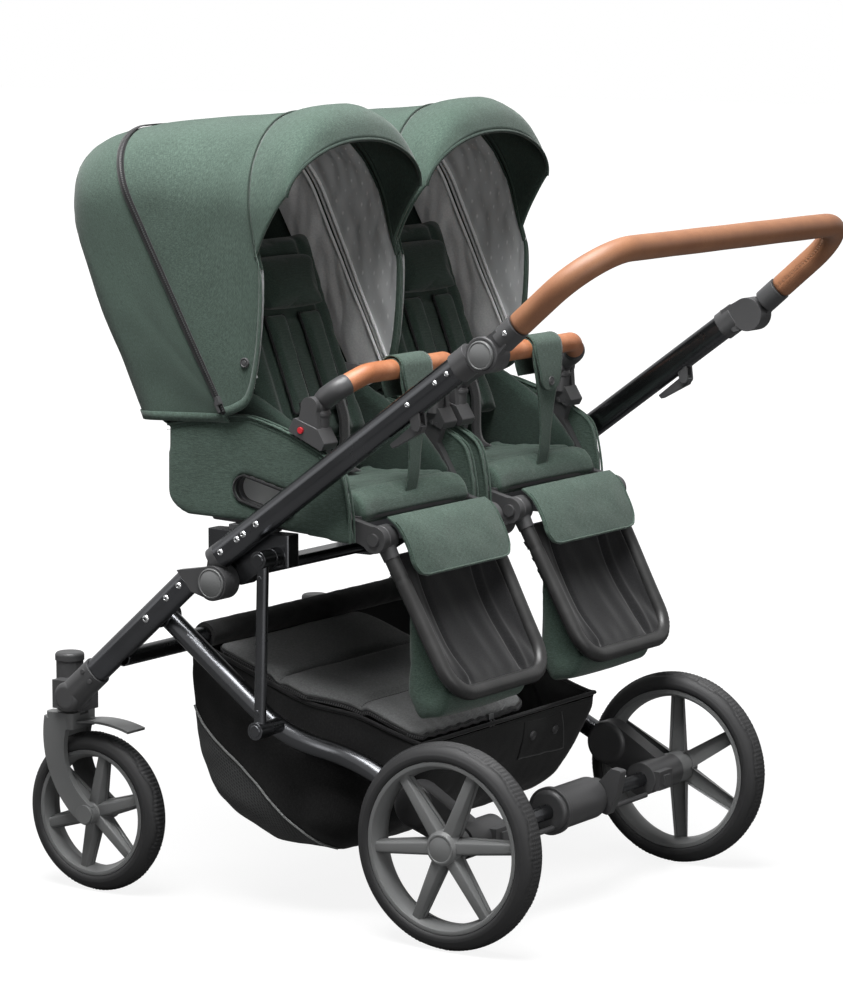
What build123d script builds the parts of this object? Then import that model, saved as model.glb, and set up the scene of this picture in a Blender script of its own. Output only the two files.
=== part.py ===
from build123d import *
import os
from math import atan2, cos, hypot, radians, sin, tan

# Twin side-by-side pushchair: two rearward-facing seats with hoods on one folding chassis.
# Millimetres. +X is the pusher's left, +Y runs back to the handle, the front faces -Y, +Z is up.
# Places are first worked out from the rear wheels' axis (y = 0) and the floor (z = 0); every
# node is then moved along Y so that the origin lies on the floor under the middle of the object.

# ---------------------------------------------------------------- driving dimensions
# chassis tubes
TUBE_PLANE = 363.0          # middle of the side tubes, out from the centre plane
TUBE_WIDE = 30.0            # oval side tube, across
TUBE_HIGH = 38.0            # oval side tube, upright
WALL = 2.0                  # wall of every metal tube
FRONT_TUBE_FOOT = (-589.0, 327.0)
FRONT_TUBE_HEAD = (-407.0, 487.0)
PUSH_TUBE_FOOT = (-352.0, 526.0)
PUSH_TUBE_HEAD = (58.0, 822.0)
FOLD_PIVOT = (-356.0, 488.0)
FOLD_DISC_R = 25.0
CROSS_TUBE_R = 12.5
CROSS_TUBE_AT = (-529.0, 362.0)

# rear legs, links and axle
LEG_PIVOT = (-475.0, 426.0)
LEG_PLANE = 331.0
LEG_R = 15.0
LEG_BEND = (-268.0, 272.0)
LEG_INNER_PLANE = 262.0
LEG_INNER = (-190.0, 234.0)
LEG_END = (-96.0, 189.0)
BASKET_TUBE_AT = (-437.0, 394.0)
LINK_PLANE = 381.0
LINK_R = 8.5
LINK_TOP = (-266.0, 530.0)
LINK_FOOT = (-273.0, 288.0)
LINK_KNUCKLE_R = 12.5
AXLE_R = 11.0
HUB_BARREL_R = 25.0

# wheels
REAR_WHEEL_R = 145.0
REAR_WHEEL_W = 45.0
REAR_TRACK = 632.0
FRONT_WHEEL_R = 117.5
FRONT_WHEEL_W = 40.0
FRONT_TRACK = 624.0
FRONT_AXLE_Y = -618.0
TRAIL = 50.0                # caster axis ahead of the front axle
TYRE_DEEP = 24.0
SPOKES = 6
STUB_R = 6.0                # stub axle of every wheel

# caster
POST_R = 20.0
POST_FOOT_Z = 266.0
POST_HIGH = 72.0
FORK_THICK = 9.0
FORK_CROWN = 24.0

# handle
HANDLE_PIVOT = (92.0, 834.0)
HANDLE_BAR = (258.0, 976.0)
HANDLE_CORNER_R = 90.0
HANDLE_TUBE_R = 13.0
GRIP_R = 17.25
KNUCKLE_R = 25.0
SLEEVE_R = 18.0
GRIP_START = 64.0           # leather begins this far from the pivot

# seats
SEAT_PITCH = 350.0
TUB_HALF = 163.0
TUB_WALL = 11.0
TUB_FLOOR_Z = 576.0
TUB_FLOOR_THICK = 8.0
SLOT_LONG = 106.0
SLOT_HIGH = 37.0
SLOT_AT = (-295.5, 610.5)
SLOT_TILT = 14.0
PAD_THICK = 32.0
BACK_PIVOT = (-330.0, 640.0)
HOOD_PIVOT = (-343.0, 758.0)
HOOD_FIX = (-456.0, 850.0)
HOOD_HALF = 172.0
HOOD_WALL = 5.0
HOOD_CROWN_R = 118.0        # corner between the hood's sides and its top
FOOT_PIVOT = (-118.0, 562.0)
FOOT_END = (-3.0, 350.0)
FOOT_HALF = 130.0
FOOT_TUBE_R = 11.0
BUMPER_PIVOT = (-215.0, 742.0)
BUMPER_R = 14.5

BACK_HIGH = 318.0
BACK_HALF = 124.0
BACK_THICK = 26.0
BACK_LEAN = 21.0            # backrest from upright, degrees
# upright sections of the hood from its front to its rear: y, foot, top, half width, top corner
HOOD_TOP = 1155.0
HEM_Z = 711.0
HOOD_DEEP_Z = 690.0         # foot of the sections that the side cuts trim
HOOD_SECTIONS = (
    (-208.0, HOOD_DEEP_Z, HOOD_TOP - 3, HOOD_HALF, HOOD_CROWN_R),
    (-290.0, HOOD_DEEP_Z, HOOD_TOP, HOOD_HALF, HOOD_CROWN_R),
    (-400.0, HOOD_DEEP_Z, HOOD_TOP - 16, HOOD_HALF, HOOD_CROWN_R - 3),
    (-470.0, HOOD_DEEP_Z, HOOD_TOP - 26, HOOD_HALF, HOOD_CROWN_R - 8),
    (-505.0, HEM_Z, HOOD_TOP - 31, HOOD_HALF - 3, HOOD_CROWN_R - 14),
    (-545.0, 775.0, HOOD_TOP - 39, HOOD_HALF - 6, HOOD_CROWN_R - 22),
    (-585.0, 860.0, HOOD_TOP - 51, HOOD_HALF - 12, HOOD_CROWN_R - 36),
    (-620.0, 942.0, HOOD_TOP - 66, HOOD_HALF - 24, HOOD_CROWN_R - 62),
    (-655.0, 1012.0, HOOD_TOP - 92, HOOD_HALF - 54, 24.0),
)
HOOD_REAR_FROM = -520.0     # sections behind this one leave a wall at the rear

# details of the fittings, and the room each one needs
RIM_DEEP = 9.0
HUB_PROUD = 2.0
REAR_HUB_R = 24.0
FRONT_HUB_R = 15.0
RIVET_R = 4.5
RIVET_HIGH = 2.2
FRONT_RIVETS = (12.0, 42.0)
PUSH_RIVETS = (12.0, 47.0, 61.0, 88.0)
LEG_PIN_R = 6.0
LEG_CORNER_R = 130.0
COLLAR_WALL = 3.0
COLLAR_LAP = 18.0
COLLAR_REACH = 46.0
COLLAR_SCREWS = ((8.0, -9.0), (8.0, 10.0))
STEM_R = 8.0
GUARD_TIP = (-546.0, 243.0)
GUARD_THICK = 3.5
LOCK_TRAVEL = 4.5
FOLD_PIN_R = 8.0
PLUG_LONG = 22.0            # how far each hinge half reaches into its tube
LINK_PIN_R = 5.0
LINK_KNUCKLE_IN = 366.0
CARRIER_R = 33.0
BARREL_IN = 205.0
AXLE_LAP = 22.0
BRAKE_HALF = 60.0
BRAKE_R = 31.0
BRAKE_ROD_R = 4.0
PEDAL_WIDE = 16.0
BASKET_HALF = 292.0
BASKET_BACK_HALF = 234.0
BASKET_WAIST = -262.0
BASKET_BACK = -98.0
BASKET_BACK_Z = 262.0
BASKET_FLOOR_Z = 94.0
BASKET_WALL = 4.0
LID_THICK = 12.0
LID_SHORT = 10.0
LID_FAR = 75.0              # the lid ends this far past the middle and leaves the rest open
LID_CORNER_R = 40.0
LID_LIFT = 0.3
BOX_IN = 318.0
BOX_OUT = 347.6
BOX_Y = (-388.0, -248.0)
BOX_FOOT = 515.0
BOX_TOP = 560.0
CENTRE_BOX_HALF = 31.0
CARRIER_BAR = (-350.0, 498.0)
BAR_WIDE = 40.0
BAR_HIGH = 16.0
BAR_LAP = 8.0               # the carrier bar's end inside each outer mount box
PEG_MIDDLE = 158.5
PEG_WIDE = 14.0
PEG_LONG = 50.0
PEG_DEEP = 24.0
PEG_ROOM = 0.5
HANDLE_PIN_R = 7.0
HANDLE_BUTTON_R = 20.0
LEVER_PIVOT = (-18.0, 731.0)
LEVER_HALF = 5.0
LEVER_PIN_R = 2.5
PLATE_IN = 139.0
PLATE_THICK = 12.0
PAN_TOP = 591.0
FOOT_KNUCKLE_IN = 114.0
FOOT_KNUCKLE_R = 19.0
FOOT_PIN_R = 5.0
BACK_EAR_IN = 126.0
BACK_PIN_R = 6.0
BACK_TUBE_R = 7.5
EAR_IN = 158.0
EAR_THICK = 9.0
BUMPER_KNUCKLE_R = 14.0
BUMPER_PIN_R = 4.0
BUMPER_BUTTON_AT = (-228.0, 709.0)
BUMPER_BUTTON_R = 4.5
BUTTON_FLOOR = 158.0
BUMPER_TOP = (-165.0, 786.0)
HOOD_TIP = (-228.0, 1106.0)
HOOD_CUSP = (-300.0, 945.0)
HOOD_SEAM = (-297.0, 1060.0)
HOOD_SEAM_TOP = (-336.0, 1136.0)
HOOD_ZIP_FOOT = (-357.0, 728.0)
HOOD_ZIP_ANGLE = 60.1
HOOD_ZIP_LONG = 420.0
BACK_WALL_HALF = 141.0
BUCKET_HALF = 108.0
BUCKET_LOW = (-76.0, 307.0)
FLAP_HALF = 124.0
STRAP_HALF = 28.0

# clearances
RUN = 0.05                  # radial, a pin turning in its own bore
SEAT_FIT = 0.1              # pieces fixed to each other face to face
GAP = 0.35                  # faces of different moving bodies
SOFT = 1.0                  # fabric beside a moving piece

# travels, used here only to leave room
CAP_THICK = 4.0
BUTTON_TRAVEL = 4.0

# ---------------------------------------------------------------- derived places
FRONT_WHEEL_X = FRONT_TRACK / 2
REAR_WHEEL_X = REAR_TRACK / 2
CASTER_Y = FRONT_AXLE_Y - TRAIL
SEAT_X = SEAT_PITCH / 2
TUBE_IN = TUBE_PLANE - TUBE_WIDE / 2
TUBE_OUT = TUBE_PLANE + TUBE_WIDE / 2
FRONT_EDGE = FRONT_AXLE_Y - FRONT_WHEEL_R
REAR_EDGE = HANDLE_BAR[0] + GRIP_R
SHIFT_Y = -(FRONT_EDGE + REAR_EDGE) / 2
REAR_AXLE = (0.0, REAR_WHEEL_R)
REAR_HUB_IN = REAR_WHEEL_X - REAR_WHEEL_W / 2 - HUB_PROUD
REAR_HUB_OUT = REAR_WHEEL_X + REAR_WHEEL_W / 2 + HUB_PROUD
FRONT_SLOPE = atan2(FRONT_TUBE_HEAD[1] - FRONT_TUBE_FOOT[1], FRONT_TUBE_HEAD[0] - FRONT_TUBE_FOOT[0])
PUSH_SLOPE = atan2(PUSH_TUBE_HEAD[1] - PUSH_TUBE_FOOT[1], PUSH_TUBE_HEAD[0] - PUSH_TUBE_FOOT[0])
BACK_UP = (-sin(radians(BACK_LEAN)), cos(radians(BACK_LEAN)))
BACK_OUT = (cos(radians(BACK_LEAN)), sin(radians(BACK_LEAN)))
BOX_MIDDLE = (BOX_Y[0] + BOX_Y[1]) / 2

nodes = {}


# ---------------------------------------------------------------- shape helpers
def rod(start, end, radius):
    """A round bar between two points."""
    axis = Vector(*end) - Vector(*start)
    return Solid.make_cylinder(radius, axis.length, Plane(origin=start, z_dir=axis))


def pipe(start, end, radius, wall=WALL):
    return rod(start, end, radius) - rod(start, end, radius - wall)


def x_disc(at, x_from, x_to, radius):
    """A disc or boss whose axis runs along X, at the (y, z) place given."""
    return Solid.make_cylinder(
        radius, x_to - x_from, Plane(origin=(x_from, at[0], at[1]), z_dir=(1, 0, 0))
    )


def plate(outline, x_from, x_to, corner=0.0):
    """A plate cut to a (y, z) outline, standing across X."""
    face = make_face(Polyline(*outline, close=True))
    if corner:
        face = fillet(face.vertices(), corner)
    return extrude(Plane.YZ.offset(x_from) * face, x_to - x_from)


def box(x_span, y_span, z_span, corner=0.0):
    """A block given by its three spans, with its upright edges rounded."""
    block = Solid.make_box(
        x_span[1] - x_span[0],
        y_span[1] - y_span[0],
        z_span[1] - z_span[0],
        Plane(origin=(x_span[0], y_span[0], z_span[0])),
    )
    if corner:
        block = fillet(block.edges().filter_by(Axis.Z), corner)
    return block


def oval_bar(start, end, x, wide, high):
    """An oval bar in a plane across X, from one (y, z) place to another."""
    origin = Vector(x, *start)
    axis = Vector(x, *end) - origin
    section = Plane(origin=origin, z_dir=axis, x_dir=(1, 0, 0)) * Rot(0, 0, 90) * SlotOverall(high, wide)
    return extrude(section, axis.length)


def oval_tube(start, end, x, wide=TUBE_WIDE, high=TUBE_HIGH, wall=WALL):
    outer = oval_bar(start, end, x, wide, high)
    return outer - oval_bar(start, end, x, wide - 2 * wall, high - 2 * wall)


def swept(points, radii, radius):
    """A round bar bent along straight runs joined by arcs."""
    path = FilletPolyline(*points, radius=radii)
    return sweep(Plane(origin=path @ 0, z_dir=path % 0) * Circle(radius), path=path)


def between(start, end, share):
    return tuple(a + (b - a) * share for a, b in zip(start, end))


def along(start, end, distance):
    """The (y, z) place a distance from start towards end."""
    return between(start, end, distance / hypot(end[0] - start[0], end[1] - start[1]))


def both_sides(shape):
    return [shape, mirror(shape, about=Plane.YZ)]


def keep(name, *shapes):
    """Store the solids of one node, moved so that the origin is under the middle."""
    solids = []
    for shape in shapes:
        items = shape if isinstance(shape, (list, tuple)) else [shape]
        for item in items:
            solids += [s.moved(Location((0, SHIFT_Y, 0))) for s in item.solids()]
    nodes[name] = Compound(children=solids)


def keep_pair(name, shape):
    """One node on the left and its mirror image on the right."""
    left, right = both_sides(shape)
    keep(f"{name}_left", left)
    keep(f"{name}_right", right)


# ---------------------------------------------------------------- wheels
def wheel(radius, width, x, y, hub_r):
    """Rim with spokes and hub, and the tyre around it, for a wheel on the left."""
    rim_r = radius - TYRE_DEEP
    bore_r = STUB_R + RUN
    stand = Plane(origin=(x, y, radius), x_dir=(0, 1, 0), z_dir=(1, 0, 0))

    tread = Pos(rim_r + SEAT_FIT, 0) * Rectangle(
        TYRE_DEEP - SEAT_FIT, width, align=(Align.MIN, Align.CENTER)
    )
    tread = fillet(tread.vertices().group_by(Axis.X)[-1], width * 0.3)
    tread = fillet(tread.vertices().group_by(Axis.X)[0], 2)
    tyre = revolve(Plane.XZ * tread, Axis.Z)

    rim = Cylinder(rim_r, width - 3) - Cylinder(rim_r - RIM_DEEP, width - 3)
    rim += Cylinder(rim_r - RIM_DEEP / 2, 5) - Cylinder(rim_r - RIM_DEEP * 1.6, 5)
    rim += Cylinder(hub_r, width + 2 * HUB_PROUD)
    spoke_long = rim_r - RIM_DEEP - hub_r + 4
    reach = hub_r - 2 + spoke_long / 2
    face = Pos(reach, 0, width / 2 - 10) * Box(spoke_long, 13, 12)
    rib = Pos(reach, 0, width / 2 - 23) * Box(spoke_long, 5, 16)
    for turn in range(SPOKES):
        swing = Rot(0, 0, 360 / SPOKES * turn + 20)
        rim += swing * face
        rim += swing * rib
    rim -= Cylinder(bore_r, width + 10)
    return stand * rim, stand * tyre


def wheels():
    rim, tyre = wheel(REAR_WHEEL_R, REAR_WHEEL_W, REAR_WHEEL_X, 0, REAR_HUB_R)
    cap = x_disc(REAR_AXLE, REAR_HUB_OUT + SEAT_FIT, REAR_HUB_OUT + CAP_THICK, REAR_HUB_R - 2)
    cap = fillet(cap.edges().group_by(Axis.X)[-1], 1.5)
    keep_pair("rear_rim", Compound(children=[*rim.solids(), *cap.solids()]))
    keep_pair("rear_tyre", tyre)
    rim, tyre = wheel(FRONT_WHEEL_R, FRONT_WHEEL_W, FRONT_WHEEL_X, FRONT_AXLE_Y, FRONT_HUB_R)
    keep_pair("front_rim", rim)
    keep_pair("front_tyre", tyre)


# ---------------------------------------------------------------- front frame and casters
def rivet_head(at):
    """A domed head on the outer side of a side tube."""
    head = x_disc(at, TUBE_OUT - 0.6, TUBE_OUT + RIVET_HIGH, RIVET_R)
    return fillet(head.edges().group_by(Axis.X)[-1], RIVET_HIGH * 0.8)


def front_frame():
    tube = oval_tube(FRONT_TUBE_FOOT, FRONT_TUBE_HEAD, TUBE_PLANE)
    pin = x_disc(LEG_PIVOT, TUBE_IN - LEG_R * 2 - 2, TUBE_OUT + 1, LEG_PIN_R)
    pin_head = x_disc(LEG_PIVOT, TUBE_OUT - 0.5, TUBE_OUT + RIVET_HIGH, RIVET_R + 1)
    pin_head = fillet(pin_head.edges().group_by(Axis.X)[-1], RIVET_HIGH * 0.8)
    tube = tube + pin + pin_head
    for distance in FRONT_RIVETS:
        tube += rivet_head(along(FRONT_TUBE_HEAD, FRONT_TUBE_FOOT, distance))
    cross = pipe((-TUBE_PLANE, *CROSS_TUBE_AT), (TUBE_PLANE, *CROSS_TUBE_AT), CROSS_TUBE_R)
    side = oval_bar(FRONT_TUBE_FOOT, FRONT_TUBE_HEAD, TUBE_PLANE, TUBE_WIDE, TUBE_HIGH)
    for solid in both_sides(side):
        cross -= solid
    middle = max(cross.solids(), key=lambda s: s.volume)
    keep("front_tubes", both_sides(tube), middle)


def caster_housing():
    """Collar on the foot of the front tube and the upright post beside it."""
    collar_top = along(FRONT_TUBE_FOOT, FRONT_TUBE_HEAD, COLLAR_LAP)
    collar_end = along(FRONT_TUBE_FOOT, FRONT_TUBE_HEAD, -COLLAR_REACH)
    wide, high = TUBE_WIDE + 2 * COLLAR_WALL, TUBE_HIGH + 2 * COLLAR_WALL
    collar = oval_bar(collar_top, collar_end, TUBE_PLANE, wide, high)
    nose = x_disc(collar_end, TUBE_PLANE - wide / 2, TUBE_PLANE + wide / 2, high / 2)
    nose = fillet(nose.edges().group_by(Axis.X)[-1], 8)
    post_top = POST_FOOT_Z + POST_HIGH
    post = Pos(FRONT_WHEEL_X, CASTER_Y, POST_FOOT_Z + POST_HIGH / 2) * Cylinder(POST_R, POST_HIGH)
    bridge = box(
        (FRONT_WHEEL_X, TUBE_PLANE - wide / 2 + 6),
        (CASTER_Y - 2, collar_end[0] + 8),
        (POST_FOOT_Z + 6, POST_FOOT_Z + 48),
    )
    cap = Pos(FRONT_WHEEL_X, CASTER_Y, post_top + 6) * Cylinder(POST_R + 1.5, 12)
    cap = fillet(cap.edges().group_by(Axis.Z)[-1], 5)
    housing = collar + nose + post + bridge + cap
    for distance, drop in COLLAR_SCREWS:
        place = along(FRONT_TUBE_FOOT, FRONT_TUBE_HEAD, distance)
        at = (place[0] + drop * sin(FRONT_SLOPE), place[1] - drop * cos(FRONT_SLOPE))
        housing += x_disc(at, TUBE_PLANE, TUBE_PLANE + wide / 2 + 1, 3.5)
    housing -= oval_bar(
        FRONT_TUBE_FOOT, FRONT_TUBE_HEAD, TUBE_PLANE, TUBE_WIDE + 2 * SEAT_FIT, TUBE_HIGH + 2 * SEAT_FIT
    )
    stem_room = POST_HIGH - 8
    stem_middle = POST_FOOT_Z + stem_room / 2
    housing -= Pos(FRONT_WHEEL_X, CASTER_Y, stem_middle) * Cylinder(STEM_R + RUN, stem_room)
    housing -= lock_slider(GAP)
    housing -= lock_thumb(GAP)
    return housing


def caster_fork():
    """Stem, crown, two legs, axle and mudguard, turning as one about the post."""
    inner = FRONT_WHEEL_W / 2 + HUB_PROUD + GAP
    outer = inner + FORK_THICK
    x = FRONT_WHEEL_X
    axle = (FRONT_AXLE_Y, FRONT_WHEEL_R)
    crown_top = POST_FOOT_Z - GAP - 2
    crown_foot = crown_top - FORK_CROWN
    crown = box((x - outer, x + outer), (CASTER_Y - 24, CASTER_Y + 26), (crown_foot, crown_top), 10)
    ring = Pos(x, CASTER_Y, crown_top + 1) * Cylinder(POST_R - 1, 2)
    stem_long = POST_HIGH - 12
    stem = Pos(x, CASTER_Y, POST_FOOT_Z + stem_long / 2 - 4) * Cylinder(STEM_R, stem_long + 8)
    front_top = (CASTER_Y - 24, crown_top - 6)
    back_top = (CASTER_Y + 16, crown_foot)
    front_low = (axle[0] - 14, axle[1] - 11)
    back_low = (axle[0] + 12, axle[1] + 12)
    edge = make_face(
        [
            Line(back_top, front_top),
            ThreePointArc(front_top, (CASTER_Y - 15, axle[1] + 54), front_low),
            Line(front_low, back_low),
            ThreePointArc(back_low, (CASTER_Y + 18, axle[1] + 62), back_top),
        ]
    )
    fork = crown + ring + stem
    for side in (-1, 1):
        start = x + inner if side > 0 else x - outer
        fork += extrude(Plane.YZ.offset(start) * edge, FORK_THICK)
        fork += x_disc(axle, start, start + FORK_THICK, 16)
        boss_from = x + outer - 0.5 if side > 0 else x - outer - 4
        boss = x_disc(axle, boss_from, boss_from + 4.5, 14)
        fork += boss
    fork += x_disc(axle, x - outer, x + outer, STUB_R)
    guard = make_face(
        [
            ThreePointArc(
                (CASTER_Y + 20, crown_foot + 7), (FRONT_AXLE_Y + 18, crown_foot + 12), GUARD_TIP
            ),
            Line(GUARD_TIP, (GUARD_TIP[0] + 1, GUARD_TIP[1] + GUARD_THICK)),
            ThreePointArc(
                (GUARD_TIP[0] + 1, GUARD_TIP[1] + GUARD_THICK),
                (FRONT_AXLE_Y + 18, crown_foot + 12 + GUARD_THICK),
                (CASTER_Y + 20, crown_foot + 7 + GUARD_THICK),
            ),
            Line((CASTER_Y + 20, crown_foot + 7 + GUARD_THICK), (CASTER_Y + 20, crown_foot + 7)),
        ]
    )
    fork += extrude(Plane.YZ.offset(x - FRONT_WHEEL_W / 2) * guard, FRONT_WHEEL_W)
    notch = lock_slider(SOFT / 2).moved(Location((0, 0, -LOCK_TRAVEL)))
    caster_axis = Axis((x, CASTER_Y, 0), (0, 0, 1))
    return fork - notch - notch.rotate(caster_axis, 180)


def lock_thumb(room=0.0):
    """The thumb piece on the front of the lock's tab, or its room."""
    back = CASTER_Y + POST_R
    return box(
        (FRONT_WHEEL_X - 7 - room, FRONT_WHEEL_X + 7 + room),
        (back + 5 - room, back + 15 + room),
        (POST_FOOT_Z + 6 - room, POST_FOOT_Z + 13 + room),
    )


def lock_slider(room=0.0):
    """The swivel lock's tab, or the notch for it when room is given."""
    foot = POST_FOOT_Z - 1.5
    back = CASTER_Y + POST_R
    return box(
        (FRONT_WHEEL_X - 9 - room, FRONT_WHEEL_X + 9 + room),
        (back + GAP - room, back + 6 + room),
        (foot - room, foot + 20 + room),
    )


def front_end():
    front_frame()
    lower, upper = fold_joints()
    keep("front_fittings", both_sides(caster_housing()), both_sides(lower))
    pivots = [side for solid in handle_pivot() for side in both_sides(solid)]
    keep("push_fittings", both_sides(upper), pivots)
    keep_pair("caster_fork", caster_fork())
    keep_pair("caster_lock", lock_slider() + lock_thumb())


# ---------------------------------------------------------------- fold joints
def fold_joints():
    """Hinge discs between the front tubes (outer half) and the push tubes (inner half)."""
    split = TUBE_PLANE - GAP / 2
    plug_wide = TUBE_WIDE - 2 * WALL - 2 * SEAT_FIT
    plug_high = TUBE_HIGH - 2 * WALL - 2 * SEAT_FIT

    lower = x_disc(FOLD_PIVOT, split + GAP, TUBE_OUT + 3, FOLD_DISC_R)
    cap = x_disc(FOLD_PIVOT, TUBE_OUT + 2.5, TUBE_OUT + 5, FOLD_DISC_R - 4)
    lower += fillet(cap.edges().group_by(Axis.X)[-1], 1.2)
    half = TUBE_HIGH / 2
    up = (-sin(FRONT_SLOPE) * half, cos(FRONT_SLOPE) * half)
    head = FRONT_TUBE_HEAD
    web = [
        (head[0] + up[0], head[1] + up[1]),
        (head[0] - up[0], head[1] - up[1]),
        (FOLD_PIVOT[0] - FOLD_DISC_R * 0.25, FOLD_PIVOT[1] - FOLD_DISC_R * 0.968),
        (FOLD_PIVOT[0] - FOLD_DISC_R * 0.5, FOLD_PIVOT[1] + FOLD_DISC_R * 0.866),
    ]
    lower += plate(web, split + GAP, TUBE_OUT)
    lower += x_disc(FOLD_PIVOT, TUBE_IN + 3, split + 2, FOLD_PIN_R)
    plug = (along(head, FRONT_TUBE_FOOT, PLUG_LONG), along(head, FRONT_TUBE_FOOT, -1))
    lower += oval_bar(*plug, TUBE_PLANE, plug_wide, plug_high)
    lower -= oval_tube(head, FRONT_TUBE_FOOT, TUBE_PLANE)

    upper = x_disc(FOLD_PIVOT, TUBE_IN, split, FOLD_DISC_R)
    foot = PUSH_TUBE_FOOT
    up = (-sin(PUSH_SLOPE) * half, cos(PUSH_SLOPE) * half)
    back = along(foot, PUSH_TUBE_HEAD, -14)
    block = oval_bar(back, foot, TUBE_PLANE, TUBE_WIDE, TUBE_HIGH)
    block -= x_disc(FOLD_PIVOT, split, TUBE_OUT + 8, FOLD_DISC_R + GAP)
    upper += block
    web = [
        (back[0] + up[0] * 0.9, back[1] + up[1] * 0.9),
        (foot[0] - up[0], foot[1] - up[1]),
        (FOLD_PIVOT[0] + FOLD_DISC_R * 0.95, FOLD_PIVOT[1] + FOLD_DISC_R * 0.31),
        (FOLD_PIVOT[0] - FOLD_DISC_R * 0.95, FOLD_PIVOT[1] + FOLD_DISC_R * 0.31),
    ]
    upper += plate(web, TUBE_IN + 4, split)
    plug = (along(foot, PUSH_TUBE_HEAD, -1), along(foot, PUSH_TUBE_HEAD, PLUG_LONG))
    upper += oval_bar(*plug, TUBE_PLANE, plug_wide, plug_high)
    upper -= x_disc(FOLD_PIVOT, TUBE_IN - 5, split + 1, FOLD_PIN_R + RUN)
    upper -= oval_tube(foot, PUSH_TUBE_HEAD, TUBE_PLANE)
    return lower, upper


# ---------------------------------------------------------------- rear frame
def leg_path():
    start = along(LEG_PIVOT, LEG_BEND, 8)
    return [
        (LEG_PLANE, *start),
        (LEG_PLANE, *LEG_BEND),
        (LEG_INNER_PLANE, *LEG_INNER),
        (LEG_INNER_PLANE, *LEG_END),
    ]


def rear_frame():
    radii = [LEG_CORNER_R, LEG_CORNER_R]
    outer = swept(leg_path(), radii, LEG_R)
    leg = outer - swept(leg_path(), radii, LEG_R - WALL)
    knuckle = x_disc(LEG_PIVOT, LEG_PLANE - LEG_R, TUBE_IN - GAP, LEG_R + 2)
    boss = x_disc(LINK_FOOT, LEG_PLANE + 6, LINK_KNUCKLE_IN - GAP, LINK_KNUCKLE_R - 1.5)
    leg = leg + knuckle + boss
    leg -= x_disc(LEG_PIVOT, LEG_PLANE - LEG_R - 1, TUBE_IN + 1, LEG_PIN_R + RUN)
    cross = pipe((-LEG_PLANE, *BASKET_TUBE_AT), (LEG_PLANE, *BASKET_TUBE_AT), CROSS_TUBE_R)
    for solid in both_sides(outer):
        cross -= solid
    middle = max(cross.solids(), key=lambda s: s.volume)
    keep("rear_legs", both_sides(leg), middle)

    barrel_out = REAR_HUB_IN - GAP
    carrier_in = LEG_INNER_PLANE - LEG_R - 4
    carrier_out = LEG_INNER_PLANE + LEG_R + 4
    dome = along(LEG_END, REAR_AXLE, 12)
    carrier = x_disc(dome, carrier_in, carrier_out, CARRIER_R)
    carrier = fillet(carrier.edges().filter_by(GeomType.CIRCLE), 7)
    carrier += plate(
        [
            (dome[0] + CARRIER_R * 0.55, dome[1] + CARRIER_R * 0.83),
            (dome[0] - CARRIER_R * 0.4, dome[1] - CARRIER_R * 0.9),
            (-HUB_BARREL_R * 0.5, REAR_WHEEL_R - HUB_BARREL_R * 0.85),
            (HUB_BARREL_R * 0.6, REAR_WHEEL_R + HUB_BARREL_R * 0.7),
        ],
        carrier_in + 5,
        carrier_out - 5,
    )
    carrier += x_disc(REAR_AXLE, BARREL_IN, barrel_out, HUB_BARREL_R)
    carrier += x_disc(REAR_AXLE, barrel_out - 1, REAR_HUB_OUT - 1, STUB_R)
    carrier -= swept(leg_path(), radii, LEG_R + SEAT_FIT)
    carrier -= x_disc(REAR_AXLE, BARREL_IN - 1, BARREL_IN + AXLE_LAP, AXLE_R + SEAT_FIT)
    clamp = box(
        (BARREL_IN + 2, BARREL_IN + 40),
        (HUB_BARREL_R - 8, HUB_BARREL_R + 7),
        (REAR_WHEEL_R - 14, REAR_WHEEL_R + 14),
    )
    carrier += clamp
    carrier -= axle_button(GAP)
    keep("hub_carriers", both_sides(carrier))
    keep_pair("axle_button", axle_button())

    end = BARREL_IN + AXLE_LAP - SEAT_FIT
    axle = pipe((-end, *REAR_AXLE), (end, *REAR_AXLE), AXLE_R)
    keep("rear_axle", axle)


def axle_button(room=0.0):
    """Square quick-release button that lets the rear wheel off, or its pocket."""
    face = HUB_BARREL_R + 7
    return box(
        (BARREL_IN + 12 - room, BARREL_IN + 28 + room),
        (face - 7 - (BUTTON_TRAVEL + 1 if room else 0), face + (4 if not room else 1)),
        (REAR_WHEEL_R - 8 - room, REAR_WHEEL_R + 8 + room),
    )


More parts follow.
